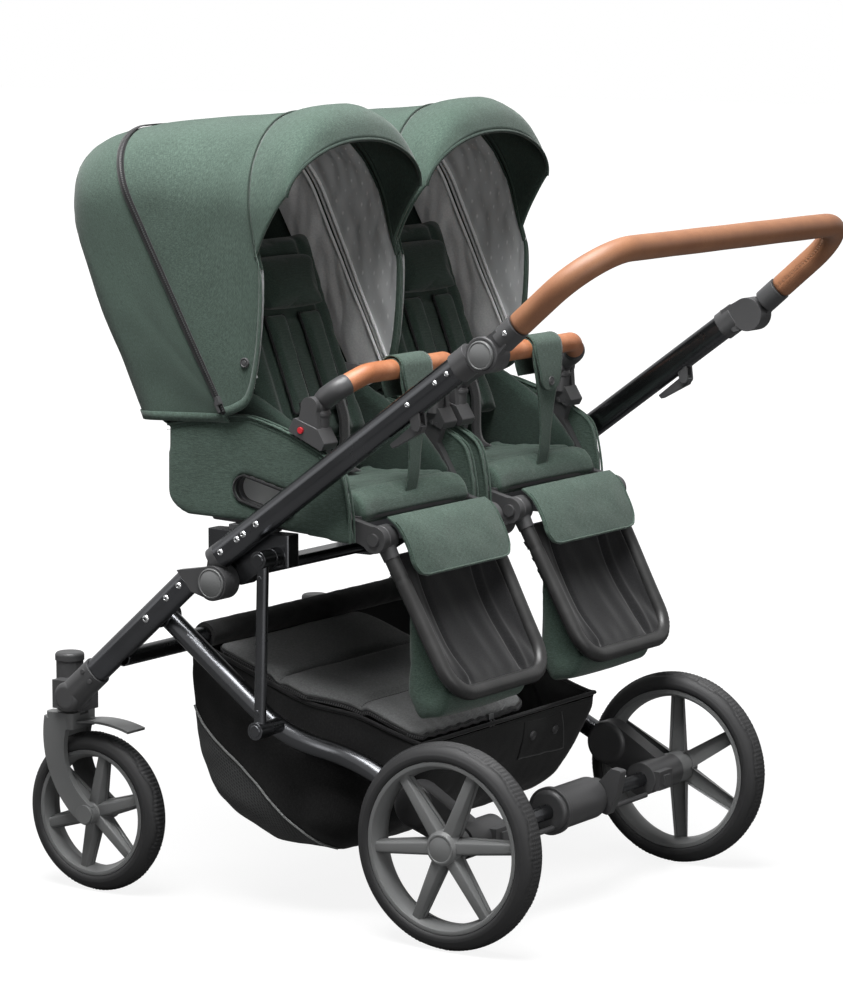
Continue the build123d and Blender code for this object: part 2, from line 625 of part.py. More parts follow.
def brake():
    sleeve = x_disc(REAR_AXLE, -BRAKE_HALF, BRAKE_HALF, BRAKE_R)
    sleeve = fillet(sleeve.edges().filter_by(GeomType.CIRCLE), 6)
    sleeve += x_disc(REAR_AXLE, BRAKE_HALF - 14, BRAKE_HALF - 6, BRAKE_R + 4)
    sleeve -= x_disc(REAR_AXLE, -BRAKE_HALF - 20, BRAKE_HALF + 20, AXLE_R + SEAT_FIT)
    rod_at = (BRAKE_R * 0.3, REAR_WHEEL_R - BRAKE_R * 0.72)
    pedal_end = BRAKE_HALF + PEDAL_WIDE + 2 * GAP
    near_rod = x_disc(rod_at, BRAKE_HALF + SEAT_FIT, BARREL_IN - SEAT_FIT, BRAKE_ROD_R)
    far_rod = x_disc(rod_at, SEAT_FIT - BARREL_IN, -pedal_end, BRAKE_ROD_R)
    keep("brake_housing", sleeve, near_rod, far_rod)

    inner = -(BRAKE_HALF + GAP)
    ring = x_disc(REAR_AXLE, inner - PEDAL_WIDE, inner, BRAKE_R - 5)
    wing = plate(
        [
            (8, REAR_WHEEL_R + 18),
            (34, REAR_WHEEL_R + 46),
            (52, REAR_WHEEL_R + 44),
            (44, REAR_WHEEL_R + 6),
            (30, REAR_WHEEL_R - 24),
            (12, REAR_WHEEL_R - 20),
        ],
        inner - PEDAL_WIDE,
        inner,
        4,
    )
    pedal = ring + wing
    pedal -= x_disc(REAR_AXLE, inner - PEDAL_WIDE - 1, inner + 1, AXLE_R + RUN)
    pedal -= x_disc(rod_at, inner - PEDAL_WIDE - 1, inner + 1, BRAKE_ROD_R + 8)
    pedal = max(pedal.solids(), key=lambda s: s.volume)
    keep("brake_pedal", pedal)


def basket():
    """Cloth tub hung from the cross tube between the rear legs, and its quilted zip lid."""
    top, low = BASKET_TUBE_AT[1] - 10, BASKET_FLOOR_Z
    front = BASKET_TUBE_AT[0] - CROSS_TUBE_R - 3.5
    side = [
        (front, top),
        (front + 2, top - 80),
        (front + 16, low + 100),
        (front + 42, low + 44),
        (front + 82, low + 16),
        (front + 190, low),
        (front + 262, low + 20),
        (front + 312, low + 56),
        (BASKET_BACK - 8, low + 132),
        (BASKET_BACK, BASKET_BACK_Z),
    ]
    plan = [
        (-BASKET_HALF, front - 1),
        (BASKET_HALF, front - 1),
        (BASKET_HALF, BASKET_WAIST),
        (BASKET_BACK_HALF, BASKET_WAIST + 62),
        (BASKET_BACK_HALF, BASKET_BACK + 1),
        (-BASKET_BACK_HALF, BASKET_BACK + 1),
        (-BASKET_BACK_HALF, BASKET_WAIST + 62),
        (-BASKET_HALF, BASKET_WAIST),
    ]

    def tub(inset):
        face = offset(make_face(Polyline(*side, close=True)), -inset) if inset else make_face(
            Polyline(*side, close=True)
        )
        block = extrude(Plane.YZ.offset(-BASKET_HALF - 1) * face, 2 * BASKET_HALF + 2)
        ground = make_face(Polyline(*plan, close=True))
        if inset:
            ground = offset(ground, -inset)
        return block & extrude(ground, top + 50)

    inside = tub(BASKET_WALL)
    shell = tub(0) - inside - Pos(0, 0, 1.5 * BASKET_WALL) * inside - Pos(0, 0, 4 * BASKET_WALL) * inside
    sleeve = rod((-BASKET_HALF, *BASKET_TUBE_AT), (BASKET_HALF, *BASKET_TUBE_AT), CROSS_TUBE_R + 5.5)
    shell += sleeve
    shell -= rod((-LEG_PLANE, *BASKET_TUBE_AT), (LEG_PLANE, *BASKET_TUBE_AT), CROSS_TUBE_R + SEAT_FIT)
    keep("basket", max(shell.solids(), key=lambda s: s.volume))

    rise = (top - BASKET_BACK_Z) / (BASKET_BACK - front)
    lid_front = BASKET_TUBE_AT[0] + CROSS_TUBE_R + 7
    lid_back = BASKET_BACK - LID_SHORT

    def lid_z(y):
        return top + LID_LIFT - rise * (y - front)

    lid = plate(
        [
            (lid_front, lid_z(lid_front)),
            (lid_back, lid_z(lid_back)),
            (lid_back, lid_z(lid_back) + LID_THICK),
            (lid_front, lid_z(lid_front) + LID_THICK),
        ],
        -LID_FAR,
        BASKET_HALF,
    )
    lid &= extrude(make_face(Polyline(*plan, close=True)), top + 90)
    lid &= box(
        (-LID_FAR, BASKET_HALF + LID_CORNER_R), (lid_front, lid_back), (low, top + LID_THICK + 1), LID_CORNER_R
    )
    keep("basket_lid", lid)


def links():
    bar = rod((LINK_PLANE, *LINK_FOOT), (LINK_PLANE, *LINK_TOP), LINK_R)
    outer = LINK_PLANE + LINK_KNUCKLE_R
    for place in (LINK_TOP, LINK_FOOT):
        bar += x_disc(place, LINK_KNUCKLE_IN, outer, LINK_KNUCKLE_R)
        cap = x_disc(place, outer - 0.5, outer + 1.5, LINK_KNUCKLE_R - 4)
        bar += fillet(cap.edges().group_by(Axis.X)[-1], 0.8)
    bar -= x_disc(LINK_TOP, LINK_KNUCKLE_IN - 1, outer - 5, LINK_PIN_R + RUN)
    for place, other in ((LINK_TOP, LINK_FOOT), (LINK_FOOT, LINK_TOP)):
        bar += x_disc(along(place, other, 26), LINK_PLANE, LINK_PLANE + LINK_R + 1, 3.2)
    keep_pair("link", bar)


# ---------------------------------------------------------------- push frame
def push_frame():
    tube = oval_tube(PUSH_TUBE_FOOT, PUSH_TUBE_HEAD, TUBE_PLANE)
    for distance in PUSH_RIVETS:
        tube += rivet_head(along(PUSH_TUBE_FOOT, PUSH_TUBE_HEAD, distance))
    keep("push_tubes", both_sides(tube))

    side = box((BOX_IN, BOX_OUT), BOX_Y, (BOX_FOOT, BOX_TOP), 5)
    side += plate(
        [
            (BOX_Y[0] + 12, BOX_FOOT + 2),
            (CARRIER_BAR[0] - 20, CARRIER_BAR[1] - BAR_HIGH / 2 - 6),
            (CARRIER_BAR[0] + 22, CARRIER_BAR[1] - BAR_HIGH / 2 - 6),
            (BOX_Y[1] - 30, BOX_FOOT + 2),
        ],
        BOX_IN,
        BOX_OUT,
    )
    side += x_disc(LINK_TOP, BOX_OUT - 1, LINK_KNUCKLE_IN - GAP, LINK_KNUCKLE_R + 1)
    side += x_disc(LINK_TOP, BOX_OUT, LINK_PLANE + 4, LINK_PIN_R)
    side -= socket(SEAT_X + PEG_MIDDLE)
    middle = box((-CENTRE_BOX_HALF, CENTRE_BOX_HALF), BOX_Y, (BOX_FOOT, BOX_TOP), 5)
    middle += plate(
        [
            (BOX_Y[0] + 12, BOX_FOOT + 2),
            (CARRIER_BAR[0] - 24, CARRIER_BAR[1] - BAR_HIGH / 2 - 4),
            (CARRIER_BAR[0] + 24, CARRIER_BAR[1] - BAR_HIGH / 2 - 4),
            (BOX_Y[1] - 30, BOX_FOOT + 2),
        ],
        -CENTRE_BOX_HALF,
        CENTRE_BOX_HALF,
    )
    for sign in (-1, 1):
        middle -= socket(sign * (SEAT_X - PEG_MIDDLE))
    slot = SlotOverall(BAR_WIDE, BAR_HIGH)
    bore = SlotOverall(BAR_WIDE - 2 * WALL, BAR_HIGH - 2 * WALL)
    at = Plane.YZ.offset(-BOX_OUT) * Pos(*CARRIER_BAR)
    bar = extrude(at * slot, 2 * BOX_OUT) - extrude(at * bore, 2 * BOX_OUT)
    bar_half = BOX_IN + BAR_LAP
    for end in both_sides(extrude(Plane.YZ.offset(bar_half) * Pos(*CARRIER_BAR) * slot, BOX_OUT)):
        bar -= end
    room = Pos(*CARRIER_BAR) * SlotOverall(BAR_WIDE + 2 * SEAT_FIT, BAR_HIGH + 2 * SEAT_FIT)
    side -= extrude(Plane.YZ.offset(BOX_IN - 1) * room, BAR_LAP + 1 + SEAT_FIT)
    middle -= extrude(Plane.YZ.offset(-CENTRE_BOX_HALF - 1) * room, 2 * CENTRE_BOX_HALF + 2)
    keep("seat_carrier", both_sides(side), middle, max(bar.solids(), key=lambda s: s.volume))


def socket(x):
    """Pocket in a mount box for one peg of a seat."""
    y = BOX_MIDDLE
    return box(
        (x - PEG_WIDE / 2 - PEG_ROOM, x + PEG_WIDE / 2 + PEG_ROOM),
        (y - PEG_LONG / 2 - PEG_ROOM, y + PEG_LONG / 2 + PEG_ROOM),
        (BOX_TOP - PEG_DEEP - 1, BOX_TOP + 1),
    )


def handle_pivot():
    """Lower half of the handle's hinge on the head of the push tube."""
    split = TUBE_PLANE - GAP / 2
    disc = x_disc(HANDLE_PIVOT, TUBE_IN - 1, split, KNUCKLE_R)
    neck = oval_bar(
        along(PUSH_TUBE_HEAD, PUSH_TUBE_FOOT, 16),
        along(PUSH_TUBE_HEAD, PUSH_TUBE_FOOT, -12),
        TUBE_PLANE,
        TUBE_WIDE + 5,
        TUBE_HIGH + 5,
    )
    head = PUSH_TUBE_HEAD
    across = (-sin(PUSH_SLOPE), cos(PUSH_SLOPE))
    web = plate(
        [
            (head[0] + across[0] * 19, head[1] + across[1] * 19),
            (head[0] - across[0] * 19, head[1] - across[1] * 19),
            (HANDLE_PIVOT[0] + 12, HANDLE_PIVOT[1] - 20),
            (HANDLE_PIVOT[0] - 12, HANDLE_PIVOT[1] + 22),
        ],
        TUBE_IN,
        split,
    )
    pivot = disc + neck + web
    pivot -= x_disc(HANDLE_PIVOT, split, TUBE_OUT + 20, KNUCKLE_R + GAP)
    pivot += x_disc(HANDLE_PIVOT, TUBE_IN + 2, TUBE_PLANE + 7, HANDLE_PIN_R)
    pivot -= oval_bar(
        PUSH_TUBE_HEAD, PUSH_TUBE_FOOT, TUBE_PLANE, TUBE_WIDE + 2 * SEAT_FIT, TUBE_HIGH + 2 * SEAT_FIT
    )
    return [*pivot.solids(), *lever_ears().solids()]


def lever_ears():
    """Two ears and a pin under the push tube, which carry the release lever."""
    ears = []
    tube = oval_bar(PUSH_TUBE_FOOT, PUSH_TUBE_HEAD, TUBE_PLANE, TUBE_WIDE, TUBE_HIGH)
    y, z = LEVER_PIVOT
    for start in (TUBE_PLANE - LEVER_HALF - GAP - 4, TUBE_PLANE + LEVER_HALF + GAP):
        ear = x_disc(LEVER_PIVOT, start, start + 4, 7)
        ear += plate([(y - 7, z), (y + 7, z), (y + 4, z + 26), (y - 12, z + 18)], start, start + 4)
        ears.append(ear)
    ear_pair = ears[0] + ears[1] + x_disc(
        LEVER_PIVOT, TUBE_PLANE - LEVER_HALF - 2, TUBE_PLANE + LEVER_HALF + 2, LEVER_PIN_R
    )
    ear_pair -= tube
    return ear_pair


def release_lever():
    y, z = LEVER_PIVOT
    lever = plate(
        [(y + 9, z + 1), (y + 5, z - 9), (y - 40, z - 33), (y - 45, z - 28), (y - 8, z + 1)],
        TUBE_PLANE - LEVER_HALF,
        TUBE_PLANE + LEVER_HALF,
        1.5,
    )
    lever += x_disc(LEVER_PIVOT, TUBE_PLANE - LEVER_HALF, TUBE_PLANE + LEVER_HALF, 5)
    lever -= x_disc(LEVER_PIVOT, 0, TUBE_OUT, LEVER_PIN_R + RUN)
    keep_pair("release_lever", lever)


def handle():
    split = TUBE_PLANE - GAP / 2
    aim = atan2(HANDLE_BAR[1] - HANDLE_PIVOT[1], HANDLE_BAR[0] - HANDLE_PIVOT[0])
    sleeve_from = KNUCKLE_R + GAP + 5
    button_floor = TUBE_OUT - 7

    def bar_path(start):
        foot = along(HANDLE_PIVOT, HANDLE_BAR, start)
        return [
            (TUBE_PLANE, *foot),
            (TUBE_PLANE, *HANDLE_BAR),
            (-TUBE_PLANE, *HANDLE_BAR),
            (-TUBE_PLANE, *foot),
        ]

    corners = [HANDLE_CORNER_R, HANDLE_CORNER_R]
    knuckle = x_disc(HANDLE_PIVOT, split + GAP, TUBE_OUT + 3, KNUCKLE_R)
    knuckle = fillet(knuckle.edges().group_by(Axis.X)[-1], 2)
    foot = along(HANDLE_PIVOT, HANDLE_BAR, sleeve_from)
    lip = along(HANDLE_PIVOT, HANDLE_BAR, GRIP_START - 2)
    sleeve = rod((TUBE_PLANE, *foot), (TUBE_PLANE, *lip), SLEEVE_R)
    c, s = cos(aim), sin(aim)
    web = plate(
        [
            (HANDLE_PIVOT[0] - s * 17, HANDLE_PIVOT[1] + c * 17),
            (HANDLE_PIVOT[0] + s * 17, HANDLE_PIVOT[1] - c * 17),
            (foot[0] + s * 13 + c * 8, foot[1] - c * 13 + s * 8),
            (foot[0] - s * 13 + c * 8, foot[1] + c * 13 + s * 8),
        ],
        split + GAP,
        TUBE_OUT,
    )
    arm = knuckle + sleeve + web
    arm -= x_disc(HANDLE_PIVOT, button_floor, TUBE_OUT + 20, HANDLE_BUTTON_R + GAP)
    arm -= x_disc(HANDLE_PIVOT, split, TUBE_PLANE + 7 + GAP, HANDLE_PIN_R + RUN)
    tube = swept(bar_path(sleeve_from + 2), corners, HANDLE_TUBE_R)
    bore = swept(bar_path(GRIP_START - 10), corners, HANDLE_TUBE_R - WALL)
    whole = tube
    for solid in both_sides(arm):
        whole += solid
    keep("handle_arms", whole - bore)
    grip = swept(bar_path(GRIP_START), corners, GRIP_R)
    grip -= swept(bar_path(GRIP_START - 5), corners, HANDLE_TUBE_R + SEAT_FIT)
    keep("handle_grip", grip)
    button = x_disc(HANDLE_PIVOT, button_floor + BUTTON_TRAVEL + 0.8, TUBE_OUT + 7, HANDLE_BUTTON_R)
    button = fillet(button.edges().group_by(Axis.X)[-1], 1.5)
    keep_pair("handle_button", button)


# ---------------------------------------------------------------- seats, built about x = 0
def seat_frame():
    """Side plates and pan, pegs, footrest hinges and bumper sockets."""
    inner, outer = PLATE_IN, PLATE_IN + PLATE_THICK
    outline = [
        (-405, 588),
        (-392, 570),
        (-300, 566),
        (-150, 556),
        (-138, 572),
        (-168, 600),
        (-204, 662),
        (-196, 684),
        (-246, 706),
        (-262, 690),
        (-300, 664),
        (-350, 664),
        (-405, 620),
    ]
    side = plate(outline, inner, outer, 4)
    side += x_disc(FOOT_PIVOT, inner, outer, FOOT_KNUCKLE_R)
    side += plate([(-160, 590), (-150, 558), (-118, 545), (-110, 578)], inner, outer)
    side += x_disc(FOOT_PIVOT, FOOT_KNUCKLE_IN + 3, inner + 1, FOOT_PIN_R)
    side += x_disc(FOOT_PIVOT, outer - 1, outer + 3, 9)
    side += x_disc(BACK_PIVOT, BACK_EAR_IN + 1, inner + 1, BACK_PIN_R)
    y = BOX_MIDDLE
    arm = box((inner, PEG_MIDDLE + PEG_WIDE / 2 + 1), (y - 36, y + 36), (BOX_TOP + GAP, BOX_TOP + 8))
    peg = box(
        (PEG_MIDDLE - PEG_WIDE / 2, PEG_MIDDLE + PEG_WIDE / 2),
        (y - PEG_LONG / 2, y + PEG_LONG / 2),
        (BOX_TOP - PEG_DEEP, BOX_TOP + 2),
    )
    side = side + arm + peg
    saddle = [(-250, 706.5), (-194, 681.5), (-188, 692), (-200, 712), (-240, 726)]
    base = plate(saddle, PLATE_IN - 4, TUB_HALF + 5, 3)
    base += plate([(-236, 712), (-200, 700), (-203, 742), (-228, 742)], EAR_IN, EAR_IN + EAR_THICK)
    base += x_disc(BUMPER_PIVOT, EAR_IN, EAR_IN + EAR_THICK, BUMPER_KNUCKLE_R)
    base += x_disc(BUMPER_PIVOT, EAR_IN - 12, EAR_IN + 1, BUMPER_PIN_R)
    side += base
    side -= x_disc(BUMPER_BUTTON_AT, BUTTON_FLOOR, TUB_HALF + 30, BUMPER_BUTTON_R + GAP)
    side -= extrude(Plane.YZ.offset(inner - 1) * hand_slot(), PLATE_THICK + 2)
    pan = box((-inner - 1, inner + 1), (-400, -150), (TUB_FLOOR_Z + TUB_FLOOR_THICK + 0.5, PAN_TOP))
    frame = pan
    for solid in both_sides(side):
        frame += solid
    return frame


def hand_slot():
    """Outline of the slot in each side of the seat."""
    return Pos(*SLOT_AT) * Rot(0, 0, -SLOT_TILT) * SlotOverall(SLOT_LONG, SLOT_HIGH)


def seat_tub():
    """Cloth-covered side panels with their hand slots, and the skin under the pan."""
    outline = [
        (-466, 590),
        (-436, 575),
        (-309, 571),
        (-146, 552),
        (-149, 600),
        (-160, 652),
        (-178, 671),
        (-229, 695),
        (-273, 712),
        (-330, 724),
        (-400, 716),
        (-464, 704),
    ]
    face = fillet(make_face(Polyline(*outline, close=True)).vertices(), 6)
    face -= hand_slot()
    side = extrude(Plane.YZ.offset(TUB_HALF - TUB_WALL) * face, TUB_WALL)
    skin = box(
        (-PLATE_IN + SOFT, PLATE_IN - SOFT), (-428, -156), (TUB_FLOOR_Z, TUB_FLOOR_Z + TUB_FLOOR_THICK)
    )
    return [*both_sides(side), skin]


def seat_pad():
    face = make_face(
        Polyline(
            (-322, PAN_TOP + 0.4),
            (-149, PAN_TOP + 0.4),
            (-143, PAN_TOP + 12),
            (-160, PAN_TOP + PAD_THICK - 2),
            (-300, PAN_TOP + PAD_THICK - 8),
            (-318, PAN_TOP + PAD_THICK),
            close=True,
        )
    )
    face = fillet(face.vertices(), 4)
    half = PLATE_IN - SOFT
    return extrude(Plane.YZ.offset(-half) * face, 2 * half)


def back_at(height, out):
    """A (y, z) place on the backrest: a height above its pivot and a distance in front."""
    return (
        BACK_PIVOT[0] + BACK_UP[0] * height + BACK_OUT[0] * out,
        BACK_PIVOT[1] + BACK_UP[1] * height + BACK_OUT[1] * out,
    )


def back_frame():
    """U-shaped tube from the recline pivots, with brackets that hold the hood."""
    ear_middle = PLATE_IN - GAP - BACK_TUBE_R
    top = back_at(BACK_HIGH, 0)
    path = [
        (ear_middle, *back_at(12, 0)),
        (ear_middle, *top),
        (-ear_middle, *top),
        (-ear_middle, *back_at(12, 0)),
    ]
    frame = swept(path, [60, 60], BACK_TUBE_R)
    frame -= swept(path, [60, 60], BACK_TUBE_R - 1.5)
    near = back_at((HOOD_PIVOT[1] - BACK_PIVOT[1]) / BACK_UP[1], 0)
    bracket = plate(
        [
            (near[0] - 6, near[1] - 14),
            (HOOD_PIVOT[0] + 8, HOOD_PIVOT[1] - 9),
            (HOOD_PIVOT[0] + 8, HOOD_PIVOT[1] + 9),
            (near[0] - 6, near[1] + 14),
        ],
        ear_middle + 2,
        ear_middle + 7,
    )
    bracket += x_disc(HOOD_PIVOT, ear_middle + 2, HOOD_HALF - HOOD_WALL - GAP, 9)
    high = back_at((HOOD_FIX[1] - BACK_PIVOT[1]) / BACK_UP[1], 0)
    arm = [
        (high[0], high[1] - 8),
        (high[0], high[1] + 8),
        (HOOD_FIX[0], HOOD_FIX[1] + 8),
        (HOOD_FIX[0], HOOD_FIX[1] - 8),
    ]
    bracket += plate(arm, ear_middle + 2, ear_middle + 7)
    bracket += x_disc(HOOD_FIX, ear_middle + 2, HOOD_HALF - HOOD_WALL - SEAT_FIT, 9)
    ear = x_disc(BACK_PIVOT, BACK_EAR_IN, PLATE_IN - GAP, 15)
    ear += plate(
        [back_at(0, -9), back_at(0, 9), back_at(26, 9), back_at(26, -9)],
        BACK_EAR_IN,
        PLATE_IN - GAP,
    )
    ear -= x_disc(BACK_PIVOT, BACK_EAR_IN - 1, PLATE_IN + 1, BACK_PIN_R + RUN)
    tube_solid = swept(path, [60, 60], BACK_TUBE_R - 1.5)
    for solid in both_sides(bracket - tube_solid) + both_sides(ear):
        frame += solid
    return frame


def back_pad():
    out = BACK_TUBE_R + SEAT_FIT
    face = make_face(
        Polyline(
            back_at(22, out),
            back_at(14, out + 18),
            back_at(20, out + BACK_THICK),
            back_at(BACK_HIGH + 10, out + BACK_THICK),
            back_at(BACK_HIGH + 18, out + 8),
            back_at(BACK_HIGH + 12, out),
            close=True,
        )
    )
    face = fillet(face.vertices(), 4)
    half = BACK_HALF
    return extrude(Plane.YZ.offset(-half) * face, 2 * half)


def hood_block(inset):
    """The hood's outer form (inset 0) or its hollow, as a loft of upright sections."""
    faces = []
    for y, foot, top, half, corner in HOOD_SECTIONS:
        bottom = foot + inset if foot > HEM_Z else foot
        high = top - inset - bottom
        middle = (0, y + (inset if y < HOOD_REAR_FROM else 0), bottom + high / 2)
        face = Rectangle(2 * (half - inset), high)
        round_top = min(max(corner - inset, 8), high / 2 - 2)
        face = fillet(face.vertices().group_by(Axis.Y)[-1], round_top)
        face = fillet(face.vertices().group_by(Axis.Y)[0], 12)
        faces.append(Plane(origin=middle, x_dir=(1, 0, 0), z_dir=(0, -1, 0)) * face)
    return loft(faces, ruled=True)


def hood():
    """Rear panel with the lower back wall, main panel and visor of one hood."""
    shell = hood_block(0) - hood_block(HOOD_WALL)
    zip_run = HOOD_ZIP_LONG / tan(radians(HOOD_ZIP_ANGLE))
    zip_up = (HOOD_ZIP_FOOT[0] - zip_run, HOOD_ZIP_FOOT[1] + HOOD_ZIP_LONG)
    wide = HOOD_HALF + 10

    def cut(points):
        return shell & plate(points, -wide, wide)

    back_edge = HOOD_SECTIONS[-1][0] - 50
    rear = cut(
        [
            (back_edge, HEM_Z),
            (HOOD_ZIP_FOOT[0] - 12, HEM_Z),
            (HOOD_ZIP_FOOT[0] - GAP, HOOD_ZIP_FOOT[1]),
            (zip_up[0] - GAP, zip_up[1]),
            (back_edge, zip_up[1]),
        ]
    )
    wall = plate(
        [
            (-511, HEM_Z + 1),
            (-466, 690),
            (-466, 592),
            (-438, 575),
            (-434, 581),
            (-460, 596),
            (-460, 693),
            (-485, HEM_Z + 12),
            (-511, HEM_Z + 12),
        ],
        -BACK_WALL_HALF,
        BACK_WALL_HALF,
    )
    rear += wall
    main = cut(
        [
            (HOOD_ZIP_FOOT[0] - 10, HEM_Z),
            (HOOD_ZIP_FOOT[0] + 5, HEM_Z),
            (-312, 744),
            (-294, 814),
            (-291, 923),
            (HOOD_CUSP[0] - GAP, HOOD_CUSP[1]),
            (HOOD_SEAM[0] - GAP, HOOD_SEAM[1]),
            (HOOD_SEAM_TOP[0] - GAP, HOOD_SEAM_TOP[1]),
            (HOOD_SEAM_TOP[0] - GAP, zip_up[1]),
            zip_up,
            HOOD_ZIP_FOOT,
        ]
    )
    visor = cut(
        [
            HOOD_CUSP,
            (-268, 1000),
            (HOOD_TIP[0] - 12, HOOD_TIP[1] - 48),
            HOOD_TIP,
            (HOOD_TIP[0] - 6, HOOD_TIP[1] + 22),
            (HOOD_TIP[0] - 40, zip_up[1]),
            (HOOD_SEAM_TOP[0], zip_up[1]),
            HOOD_SEAM_TOP,
            HOOD_SEAM,
        ]
    )
    return rear, main, visor


def footrest():
    """Padded loop on two knuckles, and the cloth bucket inside it with its top flap."""
    down = atan2(FOOT_END[1] - FOOT_PIVOT[1], FOOT_END[0] - FOOT_PIVOT[0])
    c, s = cos(down), sin(down)

    def at(distance, out=0.0):
        return (FOOT_PIVOT[0] + c * distance - s * out, FOOT_PIVOT[1] + s * distance + c * out)

    long = hypot(FOOT_END[0] - FOOT_PIVOT[0], FOOT_END[1] - FOOT_PIVOT[1])
    half = FOOT_HALF - 2
    low_half = FOOT_HALF - 10
    path = [(half, *at(6)), (low_half, *at(long)), (-low_half, *at(long)), (-half, *at(6))]
    loop = swept(path, [46, 46], FOOT_TUBE_R)
    knuckle = x_disc(FOOT_PIVOT, FOOT_KNUCKLE_IN, PLATE_IN - GAP, FOOT_KNUCKLE_R)
    for solid in both_sides(knuckle):
        loop += solid
    pin_room = x_disc(FOOT_PIVOT, FOOT_KNUCKLE_IN + 2, PLATE_IN, FOOT_PIN_R + RUN)
    for solid in both_sides(pin_room):
        loop -= solid

    clear = FOOT_TUBE_R + SOFT
    outline = [
        at(34, -2),
        at(long - clear - 2, -2),
        at(long - 4, -clear - 4),
        (-34, 316),
        BUCKET_LOW,
        (-94, 345),
        (-92, 470),
        at(34, -22),
    ]
    bucket = plate(outline, -BUCKET_HALF, BUCKET_HALF, 3)
    hollow = [at(60, 12), at(long - 26, 12), at(long - 34, -30), at(80, -26)]
    bucket -= plate(hollow, -BUCKET_HALF + 26, BUCKET_HALF - 26)
    bucket -= swept(path, [46, 46], clear)
    flap = plate(
        [at(-30, 34), at(-10, 36), at(56, 26), at(56, 21), at(-10, 30), at(-30, 28)],
        -FLAP_HALF,
        FLAP_HALF,
    )
    neck = plate(
        [at(34, 27), at(50, 25), at(50, -4), at(38, -12)], -BUCKET_HALF + 20, BUCKET_HALF - 20
    )
    return loop, bucket + flap + neck


def bumper():
    """Leather-wrapped bar between two elbows that pivot on the seat."""
    y, z = BUMPER_PIVOT
    bar_end = EAR_IN - GAP
    middle = bar_end - BUMPER_R
    path = [
        (middle, y + 4, z + 6),
        (middle - 2, y + 30, z + 24),
        (middle - 45, BUMPER_TOP[0], BUMPER_TOP[1]),
        (-middle + 45, BUMPER_TOP[0], BUMPER_TOP[1]),
        (-middle + 2, y + 30, z + 24),
        (-middle, y + 4, z + 6),
    ]
    bar = swept(path, [18, 30, 30, 18], BUMPER_R)
    for side in (-1, 1):
        start = bar_end - 2 * BUMPER_R if side > 0 else -bar_end
        bar += x_disc(BUMPER_PIVOT, start, start + 2 * BUMPER_R, BUMPER_KNUCKLE_R)
        pin_from = bar_end - 12 if side > 0 else -bar_end - 1
        bar -= x_disc(BUMPER_PIVOT, pin_from, pin_from + 13, BUMPER_PIN_R + RUN)
    button = x_disc(BUMPER_BUTTON_AT, BUTTON_FLOOR + 4, TUB_HALF + 7.5, BUMPER_BUTTON_R)
    strap_top = (BUMPER_TOP[0], BUMPER_TOP[1])
    strap = rod((-STRAP_HALF, *strap_top), (STRAP_HALF, *strap_top), BUMPER_R + 3.5)
    strap += plate(
        [
            (strap_top[0] - 6, strap_top[1] - 13),
            (strap_top[0], strap_top[1] - 14),
            (-163, PAN_TOP + PAD_THICK - 2),
            (-169, PAN_TOP + PAD_THICK - 2),
        ],
        -STRAP_HALF + 4,
        STRAP_HALF - 4,
    )
    strap -= rod((-90, *strap_top), (90, *strap_top), BUMPER_R + 0.4)
    return bar, button, strap


def seats():
    rear, main, visor = hood()
    loop, cover = footrest()
    bar, button, strap = bumper()
    outer_button, inner_button = both_sides(button)
    pieces = {
        "seat_frame": seat_frame(),
        "seat_tub": seat_tub(),
        "seat_pad": seat_pad(),
        "backrest": [back_frame(), back_pad()],
        "hood_rear": rear,
        "hood_main": main,
        "hood_visor": visor,
        "footrest_loop": loop,
        "footrest_cover": cover,
        "bumper_bar": bar,
        "crotch_strap": strap,
    }
    for side, x in (("left", SEAT_X), ("right", -SEAT_X)):
        for name, shape in pieces.items():
            items = shape if isinstance(shape, (list, tuple)) else [shape]
            keep(f"{name}_{side}", [Location((x, 0, 0)) * item for item in items])
        keep(f"bumper_button_{side}_a", Location((x, 0, 0)) * outer_button)
        keep(f"bumper_button_{side}_b", Location((x, 0, 0)) * inner_button)


def main():
    os.makedirs("parts", exist_ok=True)
    wheels()
    front_end()
    rear_frame()
    brake()
    basket()
    links()
    push_frame()
    release_lever()
    handle()
    seats()
    for name, shape in nodes.items():
        export_step(shape, f"parts/{name}.step")
    print(len(nodes), "nodes, shifted", SHIFT_Y, "along Y")


if __name__ == "__main__":
    main()
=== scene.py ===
import math

import bmesh
import bpy
from mathutils import Matrix, Vector, noise


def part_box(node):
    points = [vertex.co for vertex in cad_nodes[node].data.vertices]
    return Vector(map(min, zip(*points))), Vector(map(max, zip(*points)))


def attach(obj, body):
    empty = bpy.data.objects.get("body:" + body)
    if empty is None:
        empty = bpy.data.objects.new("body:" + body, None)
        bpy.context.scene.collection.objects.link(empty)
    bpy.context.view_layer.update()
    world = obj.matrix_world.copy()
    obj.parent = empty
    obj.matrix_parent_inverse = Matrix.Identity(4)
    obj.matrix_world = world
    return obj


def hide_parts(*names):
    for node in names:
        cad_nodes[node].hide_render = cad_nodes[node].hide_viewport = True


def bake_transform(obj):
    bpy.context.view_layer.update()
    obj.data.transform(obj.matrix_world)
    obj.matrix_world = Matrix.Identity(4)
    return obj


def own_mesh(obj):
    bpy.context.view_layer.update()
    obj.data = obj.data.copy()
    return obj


# Twin side-by-side pushchair: the looks of its cloth, leather, plastic and metal around the CAD frame.
# Places are in millimetres, with y counted from the rear axle, and at() turns them into the row frame.

